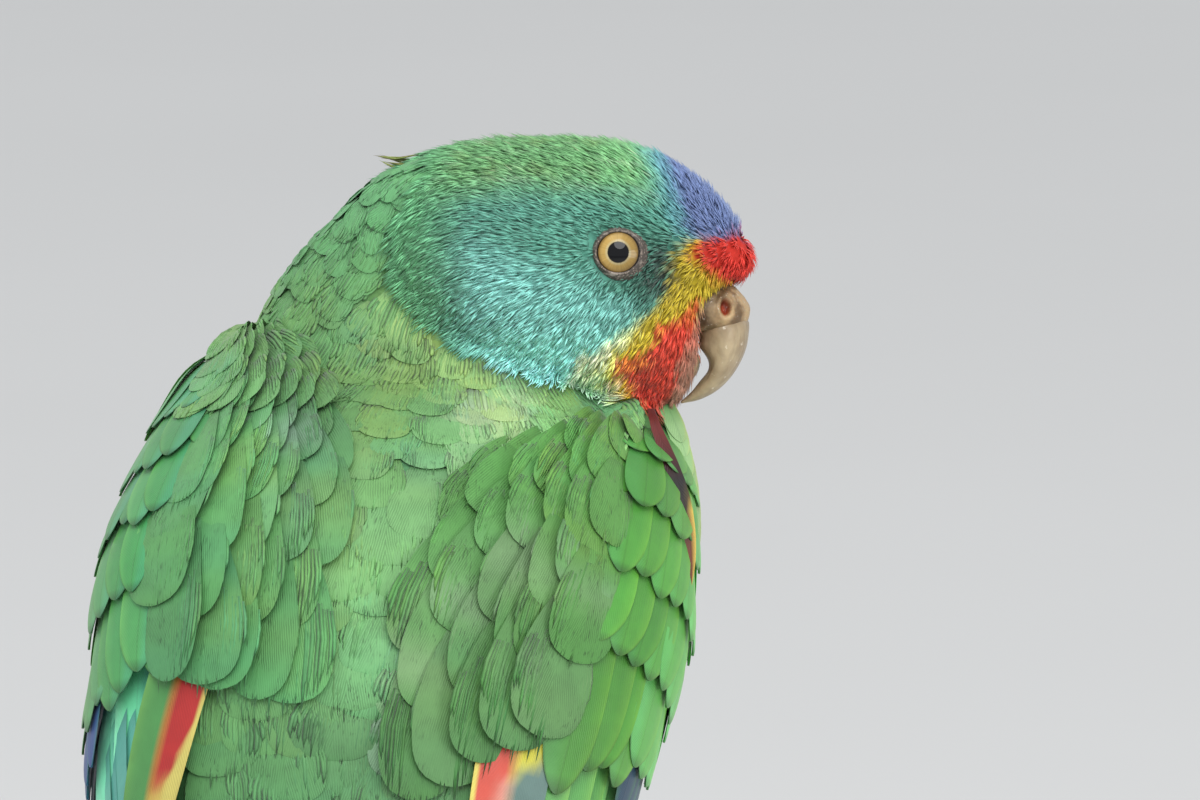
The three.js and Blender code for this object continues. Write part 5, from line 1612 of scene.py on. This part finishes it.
def ring_faces(rows, sides):
    """The faces of a closed band: rows that run out and back, joined end to start."""
    row, place = np.arange(rows)[:, None], np.arange(sides)[None]
    beyond, after = (row + 1) % rows, (place + 1) % sides
    quads = [row * sides + place, row * sides + after, beyond * sides + after, beyond * sides + place]
    return [np.stack(np.broadcast_arrays(*quads), -1).reshape(-1, 4)]


# ---------- Feet ----------
TOES = ((1, 1, 0.94), (-1, 1, 1), (1, -1, 1), (-1, -1, 0.82))


def toe_line(side, toe, share, lift=0.0):
    """A toe's middle line round the branch: the share 0 is over the branch, and 1 is the toe's end."""
    splay, way, reach = toe
    angle = way * reach * np.radians(118) * share
    radius = PERCH["radius"] + 0.9 + 1.75 + lift
    x = PERCH["x"] + side * FOOT_SPREAD + splay * mix(0.9, 4.6, share)
    return stack(x, PERCH["y"] + radius * np.sin(angle), PERCH["z"] + radius * np.cos(angle))


def foot_paint():
    """Grey-brown scaly skin: pale scutes with dark seams."""
    paint = Paint("foot_scales", Roughness=0.55, Specular_IOR_Level=0.35)
    settings = {"feature": "DISTANCE_TO_EDGE"}
    values = {"Vector": paint.place((1, 1, 1.3)), "Scale": 1300.0}
    scales = paint.node("ShaderNodeTexVoronoi", settings, values)[0]
    plate = paint.between(0.02, 0.14, scales)
    blotch = paint.noise(paint.place(), 300.0, 3.0)
    colour = paint.blend(plate, (0.09, 0.065, 0.055), (0.40, 0.31, 0.27))
    paint.colour(paint.shade(colour, blotch * 0.8 + 0.6))
    paint.bump(plate, 0.7, 0.00018)
    return paint.material


FOOT_SKIN = foot_paint()


def feet():
    """Two toes forward and two back round the branch, ringed with scutes, with a bare shank and hooked
    claws."""
    for name, side in (("left", -1), ("right", 1)):
        parts = []
        share = np.linspace(0, 1, 60)
        for i, toe in enumerate(TOES):
            line = toe_line(side, toe, share)
            scutes = 1 + 0.05 * np.abs(np.sin(share * 13 * np.pi)) + 0.07 * np.cos(share * 6 * np.pi)
            pads = mix(1.68, 1.2, share) * scutes * np.where(share > 0.97, 0.75, 1)
            parts.append(tube(line, pads, pads, 20))
            end, before = toe_line(side, toe, np.array([1.0, 0.9]))
            along = unit(end - before)
            outward = unit(end - np.array([end[0], PERCH["y"], PERCH["z"]]))
            t = np.linspace(0, 1, 26)
            bend = 1.5 * np.sin(np.pi * t * 0.55) - 1.1 * t * t
            hook = end + along * (6.6 * t)[:, None] + outward * bend[:, None]
            radii = mix(1.02, 0.1, t**1.2)
            horn = tube(hook, radii * 0.8, radii, 18)
            claw = mesh_piece(f"claw_{name}_{i + 1}_horn", [horn], CLAW_HORN)
            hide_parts(f"claw_{name}_{i + 1}")
        foot, top = leg_places(side, 3.2)
        t = np.linspace(0, 0.75, 40)
        shank = mix(foot, top, t[:, None])
        girth = curve([[0, 2.5], [0.3, 1.95], [0.75, 1.8]])(t) * (1 + 0.05 * np.abs(np.sin(t * 36)))
        parts.append(tube(shank, girth, girth, 24))
        rise = np.linspace(-0.96, 0.96, 20)
        palm = foot + stack(0 * rise, 0 * rise, rise * 2.2 - 0.6)
        swell = np.sqrt(1 - rise**2)
        parts.append(tube(palm, 3.1 * swell, 3.5 * swell, 28))
        piece = mesh_piece(f"foot_{name}_scaly", parts, FOOT_SKIN)
        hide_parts(f"foot_{name}")


# ---------- Stand ----------
def bark_paint():
    """Rough grey-brown bark with dark cracks along the branch and pale lichen flecks, and rings on the cut
    ends."""
    paint = Paint("bark_branch", Roughness=0.85, Specular_IOR_Level=0.2)
    crack = paint.blotch(0.38, 0.56, 420.0, 5.0, (0.25, 1, 1), 0.65)
    blotch = paint.blotch(0.4, 0.66, 130.0)
    colour = paint.blend(crack, (0.07, 0.05, 0.04), (0.27, 0.21, 0.17))
    colour = paint.blend(blotch * 0.55, colour, (0.36, 0.33, 0.29))
    colour = paint.blend(paint.blotch(0.62, 0.7, 210.0, 2.0) * 0.7, colour, (0.30, 0.13, 0.07))
    x, y, z = paint.node("ShaderNodeSeparateXYZ", None, {0: paint.place()})
    radius = ((y - PERCH["y"] * MM) ** 2.0 + (z - PERCH["z"] * MM) ** 2.0) ** 0.5
    ends = paint.between(PERCH["length"] * 0.496 * MM, PERCH["length"] * 0.499 * MM, abs(x - PERCH["x"] * MM))
    rings = (radius * (TURN / 0.0007) + paint.noise(paint.place(), 300.0) * 6.0).maths("SINE") * 0.5 + 0.5
    wood = paint.blend(rings, (0.36, 0.24, 0.14), (0.55, 0.42, 0.27))
    cut = ends * (1 - paint.between(0.0062, 0.0066, radius))
    paint.colour(paint.blend(cut, colour, wood))
    paint.bump(crack * (1 - cut) + rings * 0.1, 0.8, 0.0006)
    return paint.material


def wood_paint():
    """Dark oiled hardwood with long grain and pores."""
    paint = Paint("stand_hardwood", Roughness=0.38, Specular_IOR_Level=0.4, Coat_Weight=0.12,
                  Coat_Roughness=0.3)
    grain = paint.noise(paint.place((1, 0.09, 1)), 260.0, 5.0, 0.6)
    pore = paint.blotch(0.62, 0.72, 1600.0, 2.0, (1, 0.05, 1))
    stops = [(0.3, (0.06, 0.03, 0.018)), (0.5, (0.13, 0.07, 0.04)), (0.7, (0.2, 0.11, 0.06))]
    colour = paint.node("ShaderNodeValToRGB", {"stops": stops}, {0: grain})[0]
    paint.colour(paint.blend(pore * 0.6, colour, (0.03, 0.016, 0.01)))
    paint.rough(0.34 + grain * 0.14)
    paint.bump(pore * -1.0, 0.25, 0.0001)
    return paint.material


def steel_paint():
    """Satin steel, brushed round the rod."""
    paint = Paint("stand_satin_steel", Metallic=1.0, Roughness=0.32)
    brush = paint.noise(paint.place((0.1, 0.1, 6)), 900.0, 3.0)
    paint.colour(paint.blend(brush, (0.44, 0.45, 0.47), (0.58, 0.59, 0.61)))
    paint.rough(0.26 + brush * 0.16)
    return paint.material


def stand():
    """The branch with its bark, and the board and rods in their own finishes."""
    share = np.linspace(0, 1, 150)[:, None]
    angle = np.arange(90)[None] * TURN / 90
    x = PERCH["x"] + PERCH["length"] * (share - 0.5)
    bark = 0.3 * np.sin(3 * angle + 9 * share) + 0.22 * np.sin(5 * angle - 21 * share)
    bark = bark + 0.35 * np.sin(7 * share + 1)
    ring = stack(x, 8 * np.sin(angle), 8 * np.cos(angle))
    bark = bark + 0.22 * mottle(ring * [0.3, 1, 1], 2.2, 15) + 0.12 * mottle(ring * [0.4, 1, 1], 0.9, 16)
    rim = 1 - 0.06 * ramp(0.985, 1, np.abs(2 * share - 1))
    radius = (PERCH["radius"] + bark) * rim
    rings = stack(x, PERCH["y"] + radius * np.sin(angle), PERCH["z"] + radius * np.cos(angle))
    perch = mesh_piece("branch_bark", [loft(rings[None])], bark_paint())
    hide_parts("stand_perch")
    finishes = (("stand_base", wood_paint()), ("stand_rod_left", STEEL), ("stand_rod_right", STEEL))
    for node, material in finishes:
        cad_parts[node].data.materials.clear()
        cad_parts[node].data.materials.append(material)


STEEL = steel_paint()


# ---------- Putting it together ----------
def skin_paint():
    """The skin under the coat: downy, in the coat's own markings but darker, from the Plumage colour."""
    paint = Paint("skin_down", Roughness=0.8, Specular_IOR_Level=0.15)
    plumage, down = paint.plumage(), paint.noise(paint.place(), 1400.0)
    paint.colour(paint.shade(plumage, down * 0.5 + 0.45))
    paint.bump(down, 0.5, 0.0002)
    return paint.material


def dress_skin():
    """Gives the skin its markings, and lets it stand for the solids of flesh."""
    points = vertex_places(SKIN.data)
    set_plumage(SKIN.data, tint(neck_colour(points), head_colour(points), ramp(1.12, 0.98, in_head(points))))
    finish_piece(SKIN, skin_paint())
    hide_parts("head", "neck", "torso", "wing_left", "wing_right", "tail", "leg_left", "leg_right")


dress_skin()
head_coat()
nape_tuft()
neck_coat()
body_coat()
thigh_coat()
wings()
scapulars()
shoulder_slit()
tail()
bill()
eyes()
feet()
stand()


# ---------- Studio ----------
def studio():
    """A pale round floor, a large soft light above, two fills and a camera over the back."""
    paint = Paint("studio_paper", Roughness=0.9, Specular_IOR_Level=0.1)
    paint.colour(paint.blend(paint.noise(paint.place(), 3.0), (0.62, 0.62, 0.61), (0.66, 0.66, 0.65)))
    rows, sides, reach = 24, 64, 9
    radius, angle = np.linspace(0.01, reach, rows)[:, None], np.arange(sides)[None] * TURN / sides
    points = stack(radius * np.sin(angle), radius * np.cos(angle), 0 * angle).reshape(-1, 3)
    row, place = np.arange(rows - 1)[:, None] * sides, np.arange(sides)[None]
    after = (place + 1) % sides
    quads = np.stack([row + place, row + place + sides, row + after + sides, row + after], -1).reshape(-1, 4)
    mesh = bpy.data.meshes.new("studio_floor")
    mesh.from_pydata(points.tolist(), [], [list(range(sides))[::-1]] + quads.tolist())
    mesh.polygons.foreach_set("use_smooth", np.ones(len(quads) + 1, bool))
    mesh.materials.append(paint.material)
    floor = place_object("studio_floor", mesh)

    middle = np.array([0.02, 0.02, 0.17])
    for name, away, size, power in (
        ("light_above", (-0.2, -0.4, 1.15), 1.0, 5.0),
        ("light_front", (0.12, -1.05, 0.84), 0.8, 10.0),
        ("light_right", (1.05, -1.0, 0.05), 0.7, 7.0),
    ):
        lamp = bpy.data.lights.new(name, "AREA")
        lamp.shape, lamp.size, lamp.energy = "DISK", size, power
        aim(place_object(name, lamp), middle + away, middle)
    world = bpy.data.worlds.new("studio_air")
    world.use_nodes = True
    air = world.node_tree.nodes["Background"].inputs
    air["Color"].default_value, air["Strength"].default_value = (0.95, 0.97, 1.0, 1), 0.85
    bpy.context.scene.world = world
    bpy.context.scene.view_settings.view_transform = "Standard"

    distance = 1.2
    centre = (FACE.origin + np.array([-2.08, 0, 0]) - 16.9 * CROWN) * MM
    camera = bpy.data.cameras.new("camera")
    camera.lens, camera.sensor_width = 311.5, 36.0
    camera.clip_start, camera.clip_end = 0.05, 20.0
    bpy.context.scene.camera = place_object("camera", camera)
    aim(bpy.context.scene.camera, centre - LEFT * distance, centre)


def aim(holder, place, target):
    """Puts a lamp or a camera at a place and turns it to face a point, upright."""
    holder.location = place
    back = unit(np.array(holder.location) - target)
    side = unit(np.cross([0, 0, 1.0], back))
    up = np.cross(back, side)
    turned = np.eye(4)
    turned[:3, 0], turned[:3, 1], turned[:3, 2], turned[:3, 3] = side, up, back, holder.location
    holder.matrix_world = Matrix(turned.tolist())


studio()
